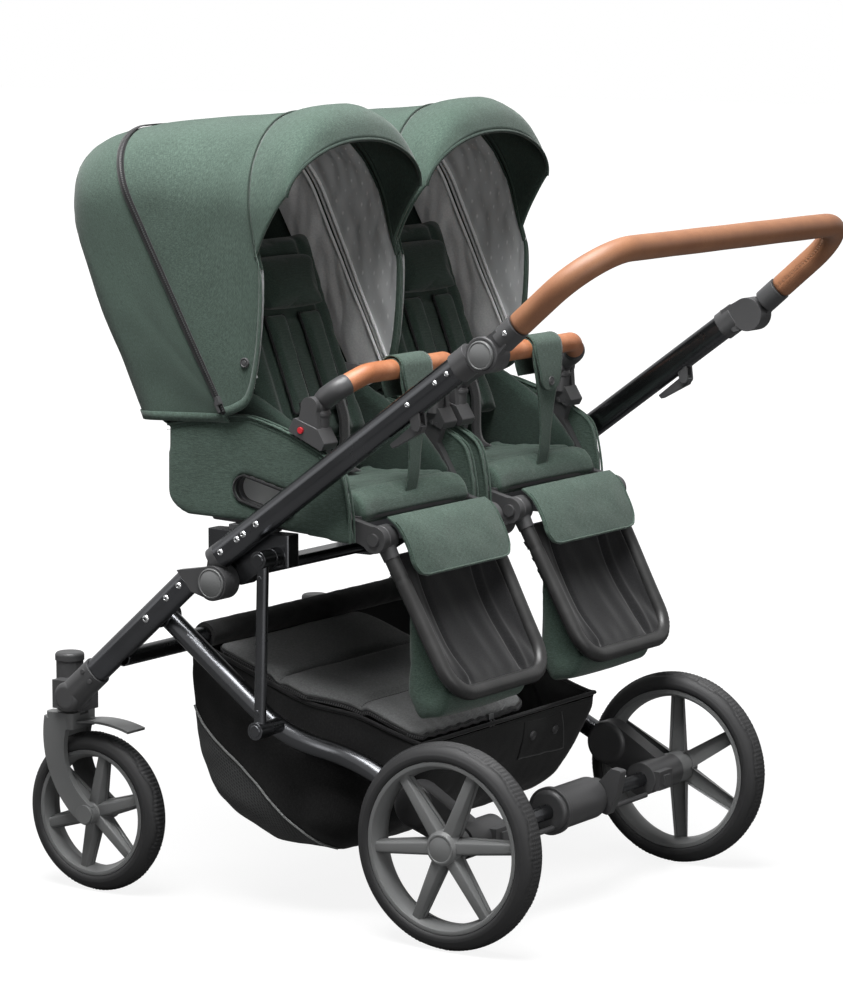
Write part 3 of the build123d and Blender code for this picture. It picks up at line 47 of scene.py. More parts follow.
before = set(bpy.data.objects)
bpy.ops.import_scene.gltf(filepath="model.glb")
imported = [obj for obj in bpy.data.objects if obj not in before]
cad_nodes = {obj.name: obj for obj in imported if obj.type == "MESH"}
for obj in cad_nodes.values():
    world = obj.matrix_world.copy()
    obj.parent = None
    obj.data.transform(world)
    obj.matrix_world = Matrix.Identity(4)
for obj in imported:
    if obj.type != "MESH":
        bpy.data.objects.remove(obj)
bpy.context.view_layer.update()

MM = 0.001
AXLE_Y = sum(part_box("rear_tyre_left"), Vector()).y / 2
SEAT_X = sum(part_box("seat_pad_left"), Vector()).x / 2 / MM
SIDES = (("left", 1), ("right", -1))
ENDS = (("a", 1), ("b", -1))

# chassis places that the new pieces share with the frame, as (y, z) or single lengths,
# and each wheel as its x, y, radius, width and hub radius
TUBE_OUT = 378.0
TUBE_PLANE = 363.0
FOLD_PIVOT = (-356.0, 488.0)
FRONT_TUBE = ((-407.0, 487.0), (-589.0, 327.0))
PUSH_TUBE = ((-352.0, 526.0), (58.0, 822.0))
HANDLE_PIVOT = (92.0, 834.0)
HANDLE_BAR = (258.0, 976.0)
HANDLE_CORNER = 90.0
GRIP_START = 64.0
GRIP_R = 17.25
LEG_PIVOT = (-475.0, 426.0)
BASKET_TUBE = (-437.0, 394.0)
REAR_WHEEL = (316.0, 0.0, 145.0, 45.0, 24.0)
FRONT_WHEEL = (312.0, -618.0, 117.5, 40.0, 15.0)
TYRE_DEEP = 24.0
BACK_PIVOT = (-330.0, 640.0)
BACK_UP = (-0.359, 0.933)
BACK_OUT = (0.933, 0.359)
FOOT_PIVOT = (-118.0, 562.0)
FOOT_END = (-3.0, 350.0)
BUMPER_PIVOT = (-215.0, 742.0)
BUMPER_TOP = (-165.0, 786.0)
BUMPER_R = 14.5
PAN_TOP = 591.0

# sewing and webbing in millimetres, and how long a pad is blown up
THREAD = 0.7
STITCH = 2.8
HOOD_CLOTH = 1.4
VISOR_CLOTH = 3.0
WEBBING = 1.4
SWELL_FRAMES = 16


def at(x, y, z):
    """A place in millimetres, y from the rear axle, as metres in the row frame."""
    return Vector((x * MM, y * MM + AXLE_Y, z * MM))


def in_seat(dx, y, z):
    """A place in millimetres, x from the middle of the left seat, as metres in the row frame."""
    return at(SEAT_X + dx, y, z)


def mix(a, b, share):
    return a + (b - a) * share


def along(start, end, distance):
    """The (y, z) place a distance from start towards end."""
    share = distance / math.hypot(end[0] - start[0], end[1] - start[1])
    return mix(start[0], end[0], share), mix(start[1], end[1], share)


# ---------------------------------------------------------------- materials
def paint(code):
    """An sRGB hex colour as linear RGBA."""
    parts = [int(code[i : i + 2], 16) / 255 for i in (1, 3, 5)]
    return (*[c / 12.92 if c <= 0.04045 else ((c + 0.055) / 1.055) ** 2.4 for c in parts], 1.0)


def join(tree, node, links):
    """Links sockets, or the first outputs of nodes, into a node's inputs."""
    for key, source in dict(links).items():
        socket = source if isinstance(source, bpy.types.NodeSocket) else source.outputs[0]
        tree.links.new(socket, node.inputs[key])


def add(tree, kind, settings=(), values=(), links=()):
    """Adds a node with its settings, or a ramp's stops, its input values and what is linked into it."""
    node = tree.nodes.new("ShaderNode" + kind)
    if kind == "ValToRGB":
        elements = node.color_ramp.elements
        for element, (position, colour) in zip(elements, settings):
            element.position, element.color = position, colour
        for position, colour in settings[2:]:
            elements.new(position).color = colour
        settings = ()
    for key, value in dict(settings).items():
        setattr(node, key, value)
    for key, value in dict(values).items():
        node.inputs[key].default_value = value
    join(tree, node, links)
    return node


def new_material(name, **values):
    """A material whose Principled shader has these input values, its tree and its shader."""
    material = bpy.data.materials.new(name)
    material.use_nodes = True
    shader = material.node_tree.nodes["Principled BSDF"]
    for key, value in values.items():
        shader.inputs[key.replace("_", " ")].default_value = value
    return material, material.node_tree, shader


WHITE, BLACK = (1.0, 1.0, 1.0, 1.0), (0.0, 0.0, 0.0, 1.0)
SHADED, PAINTED_CREASE_SHADE = (0.86, 0.86, 0.86, 1.0), (0.78, 0.78, 0.78, 1.0)
BLEND = {"data_type": "RGBA"}
DARKEN = {"data_type": "RGBA", "blend_type": "MULTIPLY"}
TIMES = {"operation": "MULTIPLY"}


def woven(name, dark, middle, pale, thread, streak, space="UV", bump=0.25, sheen=0.2, ribs=False):
    """Woven cloth: melange yarns as streaks, a plain weave in relief and slow shade changes."""
    material, tree, shader = new_material(name, Roughness=0.92, Sheen_Weight=sheen, Sheen_Roughness=0.5)
    shader.inputs["Specular IOR Level"].default_value = 0.2
    spot = {"Vector": add(tree, "TexCoord").outputs[space]}
    long, wide = (1 / (size * MM) for size in streak)
    yarns = []
    for scale in ((long, wide, wide), (wide, long, wide)):
        drawn = add(tree, "Mapping", (), {"Scale": scale}, spot)
        yarn = {"Scale": 1.0, "Detail": 3.0, "Roughness": 0.6}
        yarns.append(add(tree, "TexNoise", (), yarn, {"Vector": drawn}))
    both = add(tree, "Math", {"operation": "ADD"}, (), {0: yarns[0], 1: yarns[1]})
    half = add(tree, "Math", TIMES, {1: 0.5}, {0: both})
    stops = [(0.38, paint(dark)), (0.62, paint(pale)), (0.5, paint(middle))]
    melange = add(tree, "ValToRGB", stops, (), {"Fac": half})
    cloud = add(tree, "TexNoise", (), {"Scale": 14.0, "Detail": 4.0}, spot)
    shade = add(tree, "ValToRGB", [(0.3, SHADED), (0.7, WHITE)], (), {"Fac": cloud})
    colour = add(tree, "Mix", DARKEN, {0: 1.0}, {6: melange, 7: shade})
    waves = {"Scale": 0.314 / (thread * MM), "Distortion": 1.2, "Detail": 1.0}
    warp, weft = (
        add(tree, "TexWave", {"wave_type": "BANDS", "bands_direction": way}, waves, spot).outputs["Fac"]
        for way in ("X", "Y")
    )
    height = warp if ribs else add(tree, "Math", TIMES, (), {0: warp, 1: weft})
    rise = add(tree, "Bump", (), {"Strength": bump, "Distance": thread * MM * 0.4}, {"Height": height})
    join(tree, shader, {"Base Color": colour.outputs[2], "Normal": rise})
    return material


def grained(name, colour, deep, grain, roughness, bump, metallic=0.0, wear=None):
    """Moulded, cast or coated surface: fine grain in relief, slow mottling, paler worn spots."""
    material, tree, shader = new_material(name, Metallic=metallic)
    spot = {"Vector": add(tree, "TexCoord").outputs["Object"]}
    slow = add(tree, "TexNoise", (), {"Scale": 9.0, "Detail": 5.0}, spot)
    fine = add(tree, "TexNoise", (), {"Scale": 1 / (grain * MM), "Detail": 2.0}, spot)
    tone = add(tree, "ValToRGB", [(0.3, paint(deep)), (0.68, paint(colour))], (), {"Fac": slow})
    if wear:
        rub = add(tree, "TexNoise", (), {"Scale": 60.0, "Detail": 8.0, "Roughness": 0.7}, spot)
        spots = add(tree, "ValToRGB", [(0.66, BLACK), (0.8, WHITE)], (), {"Fac": rub})
        tone = add(tree, "Mix", BLEND, {7: paint(wear)}, {0: spots, 6: tone}).outputs[2]
    span = {"To Min": roughness * 0.85, "To Max": roughness * 1.15}
    gloss = add(tree, "MapRange", (), span, {"Value": slow})
    edge = add(tree, "Bevel", {"samples": 4}, {"Radius": 1.3 * MM})
    relief = {"Strength": bump, "Distance": grain * MM * 0.3}
    rise = add(tree, "Bump", (), relief, {"Height": fine, "Normal": edge})
    join(tree, shader, {"Base Color": tone, "Roughness": gloss, "Normal": rise})
    return material


def hide(name, colour, deep, pale, cell, roughness, bump):
    """Leather or leatherette: pebbled cells with painted shade darkening the creases between them, paler where
    it is pulled.
    """
    material, tree, shader = new_material(name, Coat_Weight=0.08, Coat_Roughness=0.4)
    spot = {"Vector": add(tree, "TexCoord").outputs["UV"]}
    cells = {"Scale": 1 / (cell * MM), "Randomness": 0.9}
    pebble = add(tree, "TexVoronoi", {"feature": "DISTANCE_TO_EDGE"}, cells, spot)
    slow = add(tree, "TexNoise", (), {"Scale": 22.0, "Detail": 6.0, "Roughness": 0.6}, spot)
    stops = [(0.3, paint(deep)), (0.72, paint(pale)), (0.5, paint(colour))]
    tone = add(tree, "ValToRGB", stops, (), {"Fac": slow})
    # painted shade: the creases between the pebbles are drawn darker
    crease = add(tree, "ValToRGB", [(0.0, PAINTED_CREASE_SHADE), (0.16, WHITE)], (), {"Fac": pebble})
    colours = add(tree, "Mix", DARKEN, {0: 0.7}, {6: tone, 7: crease}).outputs[2]
    span = {"To Min": roughness * 0.8, "To Max": roughness * 1.2}
    gloss = add(tree, "MapRange", (), span, {"Value": slow})
    rise = add(tree, "Bump", (), {"Strength": bump, "Distance": cell * MM * 0.25}, {"Height": pebble})
    join(tree, shader, {"Base Color": colours, "Roughness": gloss, "Normal": rise})
    return material


def honeycomb(name, colour, hole, gap, wide=0.3):
    """Knitted mesh: rows of round holes or dots in a yarn net."""
    material, tree, shader = new_material(name, Roughness=0.8, Sheen_Weight=0.1)
    spot = {"Vector": add(tree, "TexCoord").outputs["UV"]}
    holes = add(tree, "TexVoronoi", {"feature": "F1"}, {"Scale": 1 / (gap * MM), "Randomness": 0.12}, spot)
    stops = [(wide - 0.07, paint(hole)), (wide + 0.07, paint(colour))]
    tone = add(tree, "ValToRGB", stops, (), {"Fac": holes})
    rise = add(tree, "Bump", (), {"Strength": 0.6, "Distance": 0.0006}, {"Height": holes})
    join(tree, shader, {"Base Color": tone, "Normal": rise})
    return material


# Woven polyester melange of the seats and hoods: dark and grey-green yarns side by side, dull, soft sheen.
# Its 0.4 mm threads are drawn at 1.6 mm and the yarn flecks at 7 by 0.9 mm, so that they show.
GREENS = ("#3a483f", "#485950", "#5b6e64")
cloth_green = woven("woven_polyester_green", *GREENS, 1.6, (7.0, 0.9))
cloth_green_solid = woven("woven_polyester_green_padded", *GREENS, 1.6, (7.0, 0.9), space="Object")
# Painted shade: the same cloth, a little darker, for the linings and pads inside the hood and seat, where
# shade falls.
PAINTED_SHADE_GREENS = ("#25302a", "#2e3c35", "#3b4b43")
cloth_painted_shade = woven("woven_polyester_painted_shade_green", *PAINTED_SHADE_GREENS, 1.6, (7.0, 0.9))
cloth_painted_shade_solid = woven("woven_polyester_painted_shade_green_padded", *PAINTED_SHADE_GREENS, 1.6, (7.0, 0.9), space="Object")
# Silver-coated polyester taffeta lining: thin, smooth, slightly shiny, 1 mm ripstop drawn at 2 mm. Its silver
# grey is lifted to near white as painted reflection, standing in for the shine of the coat.
SILVER_WITH_PAINTED_SHINE = ("#e4e5e6", "#eeeeee", "#f7f7f7")
lining_grey = woven("coated_taffeta_silver_painted_shine", *SILVER_WITH_PAINTED_SHINE, 2.0, (6.0, 2.0), bump=0.12, sheen=0.05)
# Polyester canvas of the basket: near black, dull, coarse plain weave drawn at 2 mm.
canvas_black = woven("canvas_black", "#151516", "#1c1c1c", "#252526", 2.0, (5.0, 1.5))
# Quilted nylon of the basket lid: dark grey with a little shine, 1.8 mm weave.
canvas_grey = woven("quilted_nylon_grey", "#666767", "#727373", "#7f8080", 1.8, (6.0, 1.6), space="Object")
# Coated canvas of the calf panels: charcoal, tight weave, smooth hand.
canvas_charcoal = woven("coated_canvas_charcoal", "#19191a", "#202021", "#28282a", 1.6, (5.0, 1.3), bump=0.12)
# Woven webbing and zip tape: black, ribbed across.
webbing_black = woven("webbing_black", "#161617", "#1f1f20", "#2a2a2b", 2.2, (4.0, 1.2), ribs=True)
# Light-grey twill piping and binding.
binding_grey = woven("binding_tape_grey", "#8b8d8c", "#a0a2a1", "#b4b6b5", 1.5, (4.0, 1.2), space="Object")
# Spacer mesh of the basket sides: black, holes 5 mm apart.
mesh_black = honeycomb("spacer_mesh_black", "#3c3d3d", "#161616", 5.5)
# Perforated taffeta of the hood's air window: silver grey with paler dots 20 mm apart.
mesh_grey = honeycomb("dotted_taffeta_grey", "#c6c8c9", "#f4f4f4", 20.0, 0.09)
# Sewing thread, matched to the green cloth but darker, and to the black cloth.
thread_green = woven("sewing_thread_green", "#26332c", "#2c3a32", "#34443b", 0.8, (2.0, 0.5), space="Object")
thread_black = woven("sewing_thread_black", "#111111", "#191919", "#222222", 0.8, (2.0, 0.5), space="Object")
thread_tan = woven("sewing_thread_tan", "#7d5a42", "#8a664d", "#9a755b", 0.8, (2.0, 0.5), space="Object")
# Embossed polyurethane leatherette of the handle: warm brown, fine 1.2 mm pebble, satin.
hide_handle = hide("leatherette_brown", "#9a6a4c", "#926347", "#a37353", 1.4, 0.5, 0.22)
# The same on the bumper bars, a lighter and more orange batch.
hide_bumper = hide("leatherette_tan", "#b5744f", "#a56743", "#cb8f6d", 1.6, 0.45, 0.3)
# Black leatherette of the footrest loop, with 2 mm pebble.
hide_black = hide("leatherette_black", "#2b2b2b", "#222222", "#363636", 2.0, 0.42, 0.35)
# Anodised aluminium tube: dark grey, extruded and bead blasted, so it shines softly along its length.
tube_metal = grained("anodised_aluminium_dark", "#66676a", "#5c5d5f", 0.6, 0.27, 0.03, metallic=1.0)
# Glass-filled nylon mouldings: black, spark-eroded grain about 0.8 mm, dull.
nylon_black = grained("moulded_nylon_black", "#4c4c4d", "#414142", 0.8, 0.42, 0.2, wear="#5b5b5c")
# The casters' forks and the discs are a greyer nylon with a smoother skin.
nylon_grey = grained("moulded_nylon_grey", "#747575", "#686969", 0.8, 0.38, 0.15, wear="#818282")
# Rims of the same grey nylon, a little glossier.
rim_nylon = grained("moulded_nylon_rim", "#7a7b7b", "#6d6e6e", 0.9, 0.36, 0.12, wear="#868787")
# Foamed EVA and rubber tyres: dull dark grey with dust in the grain.
tyre_rubber = grained("tyre_rubber", "#2b2b2c", "#242425", 0.7, 0.62, 0.4, wear="#373738")
# Zinc-plated steel screws and rivets: bright, slightly brushed.
steel_bright = grained("zinc_plated_steel", "#d8d9da", "#bcbdbe", 0.5, 0.25, 0.08, metallic=1.0)
# Polished pull and slider of the zips.
zinc_cast = grained("cast_zinc", "#9b9c9d", "#858687", 0.6, 0.3, 0.08, metallic=1.0)
# Red ABS release dots: glossy.
abs_red = grained("abs_red", "#d8303a", "#c42731", 0.8, 0.3, 0.05)

SLOTS = {
    "fabric_green": (cloth_green, cloth_green_solid, cloth_painted_shade, cloth_painted_shade_solid, thread_green),
    "fabric_grey": (lining_grey, canvas_grey, binding_grey, mesh_grey),
    "fabric_black": (canvas_black, canvas_charcoal, webbing_black, mesh_black, thread_black),
    "leather_brown": (hide_handle, hide_bumper, thread_tan),
    "leather_black": (hide_black,),
    "frame_metal": (tube_metal, steel_bright, zinc_cast),
    "plastic_black": (nylon_black, nylon_grey),
    "rim_plastic": (rim_nylon,),
    "tyre_rubber": (tyre_rubber,),
    "button_red": (abs_red,),
}
SLOT_OF = {material: slot for slot, materials in SLOTS.items() for material in materials}


# ---------------------------------------------------------------- shape helpers
def stand(name, data):
    """A new object of the scene."""
    thing = bpy.data.objects.new(name, data)
    bpy.context.scene.collection.objects.link(thing)
    return thing


def finish(name, bm, material, body=None, stands_for=(), sharp=40, outward=None):
    """Turns a bmesh into a piece that rides on a body."""
    if outward is not None:
        bm.normal_update()
        outness = sum(f.normal.dot(f.calc_center_median() - outward) * f.calc_area() for f in bm.faces)
        if outness < 0:
            bmesh.ops.reverse_faces(bm, faces=bm.faces)
    mesh = bpy.data.meshes.new(name)
    bm.to_mesh(mesh)
    bm.free()
    piece = stand(name, mesh)
    mesh.materials.append(material)
    mesh.shade_smooth()
    mesh.set_sharp_from_angle(angle=math.radians(sharp))
    if body:
        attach(piece, body)
    if stands_for:
        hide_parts(*stands_for)
    return piece


def length_of(points):
    return sum((b - a).length for a, b in zip(points, points[1:]))


def draped_grid(bm, place, across, length):
    """A grid laid by place(u, v), with u and v from 0 to 1 and its UVs in metres."""
    grid = bmesh.ops.create_grid(bm, x_segments=across, y_segments=length, size=0.5, calc_uvs=True)
    wide = length_of([place(i / 24, 0.5) for i in range(25)])
    long = length_of([place(0.5, i / 24) for i in range(25)])
    layer = bm.loops.layers.uv.verify()
    verts = set(grid["verts"])
    shares = {v: (v.co.x + 0.5, v.co.y + 0.5) for v in verts}
    for face in {f for v in verts for f in v.link_faces}:
        for loop in face.loops:
            u, v = shares[loop.vert]
            loop[layer].uv = (u * wide, v * long)
    for v, (u, w) in shares.items():
        v.co = place(u, w)
    return list(verts)


def facing(way):
    """The turn that points z along a direction."""
    return way.to_track_quat("Z", "Y").to_matrix().to_4x4()


def frames_along(line, side=None):
    """Each point of a line with its direction and two crosswise directions, without twist."""
    found = []
    for i, point in enumerate(line):
        ahead = (line[min(i + 1, len(line) - 1)] - line[max(i - 1, 0)]).normalized()
        if side is None:
            side = ahead.orthogonal().normalized()
        side = (side - ahead * side.dot(ahead)).normalized()
        found.append((point, ahead, side, ahead.cross(side)))
    return found


def pressed(off, deep, wide):
    """How deep a seam or groove is pressed in at a distance from its middle."""
    return deep * math.exp(-((off / wide) ** 2))


def wrap(bm, line, radius, around=8, start=None):
    """A closed skin round a line of points. radius is in metres or a function of (share, turn)."""
    spots = frames_along(line, start)
    count = len(line) - 1

    def place(u, v):
        index = min(int(v * count), count - 1)
        share = v * count - index
        point = spots[index][0].lerp(spots[index + 1][0], share)
        a = spots[index][2].lerp(spots[index + 1][2], share).normalized()
        b = spots[index][3].lerp(spots[index + 1][3], share).normalized()
        turn = 2 * math.pi * u
        size = radius(v, turn) if callable(radius) else radius
        return point + (a * math.cos(turn) + b * math.sin(turn)) * size

    verts = draped_grid(bm, place, around, count)
    bmesh.ops.remove_doubles(bm, verts=verts, dist=1e-6)
    rims = [e for e in bm.edges if e.is_boundary]
    bmesh.ops.holes_fill(bm, edges=rims, sides=0)


def ribbon(bm, line, across, offset):
    """A band of cloth whose points lie off those of a line by offset(u, v)."""
    last = len(line) - 1
    draped_grid(bm, lambda u, v: line[round(v * last)] + offset(u, v), across, last)


def rounded(points, radii, step=4.0):
    """Straight runs joined by arcs of these radii, as points no more than step millimetres apart."""
    line = [points[0]]
    for before, corner, after, radius in zip(points, points[1:], points[2:], radii):
        a, b = (before - corner).normalized(), (after - corner).normalized()
        half = math.acos(max(-1.0, min(1.0, a.dot(b)))) / 2
        if math.pi / 2 - half < 1e-4:
            continue
        reach = radius * MM / math.tan(half)
        centre = corner + (a + b).normalized() * (radius * MM / math.sin(half))
        start, end = (corner + a * reach - centre).normalized(), (corner + b * reach - centre).normalized()
        turns = max(4, int(start.angle(end) * radius / step))
        line += [centre + start.slerp(end, i / turns) * radius * MM for i in range(turns + 1)]
    line.append(points[-1])
    return spaced(line, step)


def spaced(line, step):
    """The line's points again at an even step in millimetres."""
    total = length_of(line)
    count = max(2, round(total / (step * MM)))
    found, gone, index = [line[0]], 0.0, 0
    for i in range(1, count):
        want = total * i / count
        while gone + (line[index + 1] - line[index]).length < want:
            gone += (line[index + 1] - line[index]).length
            index += 1
        part = (want - gone) / (line[index + 1] - line[index]).length
        found.append(line[index].lerp(line[index + 1], part))
    return [*found, line[-1]]


def smooth_line(points, step=5.0, closed=False):
    """A smooth line through points, evenly spaced."""
    found = []
    count = len(points) if closed else len(points) - 1
    for i in range(count):
        if closed:
            p = [points[(i + k) % len(points)] for k in (-1, 0, 1, 2)]
        else:
            p = [points[max(0, min(len(points) - 1, i + k))] for k in (-1, 0, 1, 2)]
        for k in range(12):
            found.append(hermite(p, k / 12))
    found.append(points[0] if closed else points[-1])
    return spaced(found, step)


def hermite(p, t):
    """Catmull-Rom between the two middle points of four."""
    return (
        (p[1] * 2)
        + (p[2] - p[0]) * t
        + (p[0] * 2 - p[1] * 5 + p[2] * 4 - p[3]) * t * t
        + (p[1] * 3 - p[0] - p[2] * 3 + p[3]) * t * t * t
    ) * 0.5


def pour(part, bm, matrix):
    """Moves a shape built on its own by a matrix and adds it to a piece."""
    bmesh.ops.transform(part, matrix=matrix, verts=part.verts)
    mesh = bpy.data.meshes.new("part")
    part.to_mesh(mesh)
    bm.from_mesh(mesh)
    bpy.data.meshes.remove(mesh)


def turned_shape(bm, profile, place, axis, steps=48):
    """A shape spun about an axis through place. profile is (distance along the axis, radius) in mm."""
    part = bmesh.new()
    verts = [part.verts.new((r * MM, 0, a * MM)) for a, r in profile]
    edges = [part.edges.new(pair) for pair in zip(verts, verts[1:])]
    turn = {"axis": (0, 0, 1), "angle": 2 * math.pi, "steps": steps}
    bmesh.ops.spin(part, geom=verts + edges, cent=(0, 0, 0), use_merge=True, **turn)
    bmesh.ops.remove_doubles(part, verts=part.verts, dist=1e-6)
    bmesh.ops.recalc_face_normals(part, faces=part.faces)
    pour(part, bm, Matrix.Translation(place) @ facing(Vector(axis)))
    part.free()


def plate(bm, outline, x_from, x_to):
    """A block cut to a (y, z) outline in millimetres, between two x planes."""
    verts = [bm.verts.new(at(x_from, y, z)) for y, z in outline]
    face = bm.faces.new(verts)
    pushed = bmesh.ops.extrude_face_region(bm, geom=[face])
    moved = [g for g in pushed["geom"] if isinstance(g, bmesh.types.BMVert)]
    bmesh.ops.translate(bm, vec=((x_to - x_from) * MM, 0, 0), verts=moved)
    bmesh.ops.recalc_face_normals(bm, faces=list({f for v in verts + moved for f in v.link_faces}))
    return verts + moved


def block(bm, centre, size, turn=None):
    """A small block of size (x, y, z) in millimetres round a place."""
    scale = Matrix.Diagonal((*[s * MM for s in size], 1))
    matrix = Matrix.Translation(centre) @ (turn or Matrix.Identity(4)) @ scale
    return bmesh.ops.create_cube(bm, size=1.0, matrix=matrix)["verts"]


def stitches(bm, line, pitch=4.5):
    """A row of thread stitches along a line."""
    for point, ahead, _, _ in frames_along(spaced(line, pitch)):
        block(bm, point, (THREAD, THREAD, STITCH), facing(ahead))


def screw(bm, place, axis, radius=3.2, high=1.6):
    """A button-head screw with a round recess for its key."""
    head = [(0.3, 1), (0.8, 0.8), (1, 0.5), (0.9, 0.42), (0.25, 0.38), (0.25, 0)]
    profile = [(0, radius + 0.4), *[(high * a, radius * r) for a, r in head]]
    turned_shape(bm, profile, place, axis, 20)


def settle(piece):
    """Applies a piece's modifiers to its mesh."""
    graph = bpy.context.evaluated_depsgraph_get()
    piece.data = bpy.data.meshes.new_from_object(piece.evaluated_get(graph))
    piece.modifiers.clear()


def remeshed(piece, voxel, rounds):
    """Gives a block an even skin and softens its corners."""
    skin = piece.modifiers.new("skin", "REMESH")
    skin.mode = "VOXEL"
    skin.voxel_size = voxel * MM
    settle(piece)
    bm = bmesh.new()
    bm.from_mesh(piece.data)
    for _ in range(rounds):
        axes = {"use_axis_x": True, "use_axis_y": True, "use_axis_z": True}
        bmesh.ops.smooth_vert(bm, verts=bm.verts, factor=0.5, **axes)
    bm.to_mesh(piece.data)
    bm.free()
    piece.data.shade_smooth()


def swell(piece, pressure, cap):
    """Blows a closed cover up like a filled cushion, no point moving further than cap millimetres."""
    rest = [v.co.copy() for v in piece.data.vertices]
    cloth = piece.modifiers.new("fill", "CLOTH")
    cloth.settings.use_pressure = True
    cloth.settings.uniform_pressure_force = pressure
    cloth.settings.effector_weights.gravity = 0
    cloth.settings.quality = 4
    for number in range(1, SWELL_FRAMES + 1):
        bpy.context.scene.frame_set(number)
    graph = bpy.context.evaluated_depsgraph_get()
    blown = [v.co.copy() for v in piece.evaluated_get(graph).data.vertices]
    piece.modifiers.clear()
    bpy.context.scene.frame_set(1)
    for v, old, new in zip(piece.data.vertices, rest, blown):
        step = new - old
        if step.length > cap * MM:
            step *= cap * MM / step.length
        v.co = old + step


def shaped(piece, move):
    """Moves every point of a finished mesh by move(point)."""
    for v in piece.data.vertices:
        v.co = move(v.co)
    piece.data.update()


def subdivided(piece, levels=1):
    modifier = piece.modifiers.new("smooth", "SUBSURF")
    modifier.levels = modifier.render_levels = levels


def thickened(piece, thick, offset=-1.0):
    modifier = piece.modifiers.new("thickness", "SOLIDIFY")
    modifier.thickness = thick * MM
    modifier.offset = offset
    modifier.use_even_offset = False


def softened(piece, width, segments=3):
    modifier = piece.modifiers.new("edges", "BEVEL")
    modifier.width = width * MM
    modifier.segments = segments
    modifier.limit_method = "ANGLE"
    modifier.angle_limit = math.radians(35)


def twin(piece, name):
    """The right seat's copy of a piece of the left seat."""
    other = piece.copy()
    other.data = piece.data.copy()
    other.name = name
    for key in list(other.keys()):
        if key.startswith("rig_"):
            del other[key]
    other.parent = None
    bpy.context.scene.collection.objects.link(other)
    other.data.transform(Matrix.Translation((-2 * SEAT_X * MM, 0, 0)))
    return other


# ---------------------------------------------------------------- wheels
KNURL_PITCH = 6.5
TREAD_WAVES = 12
WALL_RINGS = (5.5, 9.0)


def tyre(name, sign, wheel, body, node):
    """Foam tyre: ringed sidewalls and a knurled tread whose edge waves."""
    x, y, radius, width, _ = wheel
    half = width / 2
    seat = radius - TYRE_DEEP
    wall = [(2, seat + 0.3), (0, seat + 3), (0, radius - 13), (4, radius - 6), (11, radius - 1.5)]
    section = [(a - half, r) for a, r in wall] + [(0, radius)] + [(half - a, r) for a, r in reversed(wall)]
    line = smooth_line([Vector((a, r, 0)) * MM for a, r in section], 1.9)
    rows, turns = len(line) - 1, int(2 * math.pi * radius / 1.6 / TREAD_WAVES) * TREAD_WAVES
    knurls = round(math.pi * radius / KNURL_PITCH)
    bm = bmesh.new()

    def place(u, v):
        angle = 2 * math.pi * u
        spot = line[round(v * rows)] / MM
        rise = 0.0
        edge = half - 10 + 2.6 * math.sin(angle * TREAD_WAVES)
        if abs(spot.x) < edge - 1.5:
            diagonals = math.sin(angle * knurls + spot.x * 0.85) * math.sin(angle * knurls - spot.x * 0.85)
            rise = 1.3 * max(-0.7, min(0.6, 2.2 * diagonals))
        elif abs(spot.x) < edge + 1.0:
            rise = -1.0
        for ring in WALL_RINGS:
            if abs(spot.x) > half - 2 and abs(spot.y - (seat + ring)) < 1.1:
                rise = -0.9
        inward = 1 if abs(spot.x) > half - 3 else 0
        r = spot.y + (0 if inward else rise)
        a = spot.x + (math.copysign(rise, spot.x) if inward else 0)
        return at(sign * (x + a), y + r * math.cos(angle), radius + r * math.sin(angle))

    verts = draped_grid(bm, place, turns, rows)
    bmesh.ops.remove_doubles(bm, verts=verts, dist=1e-6)
    ends = [e for e in bm.edges if e.is_boundary]
    bmesh.ops.bridge_loops(bm, edges=ends)
    bmesh.ops.recalc_face_normals(bm, faces=bm.faces)
    finish(name, bm, tyre_rubber, body, [node], sharp=60)


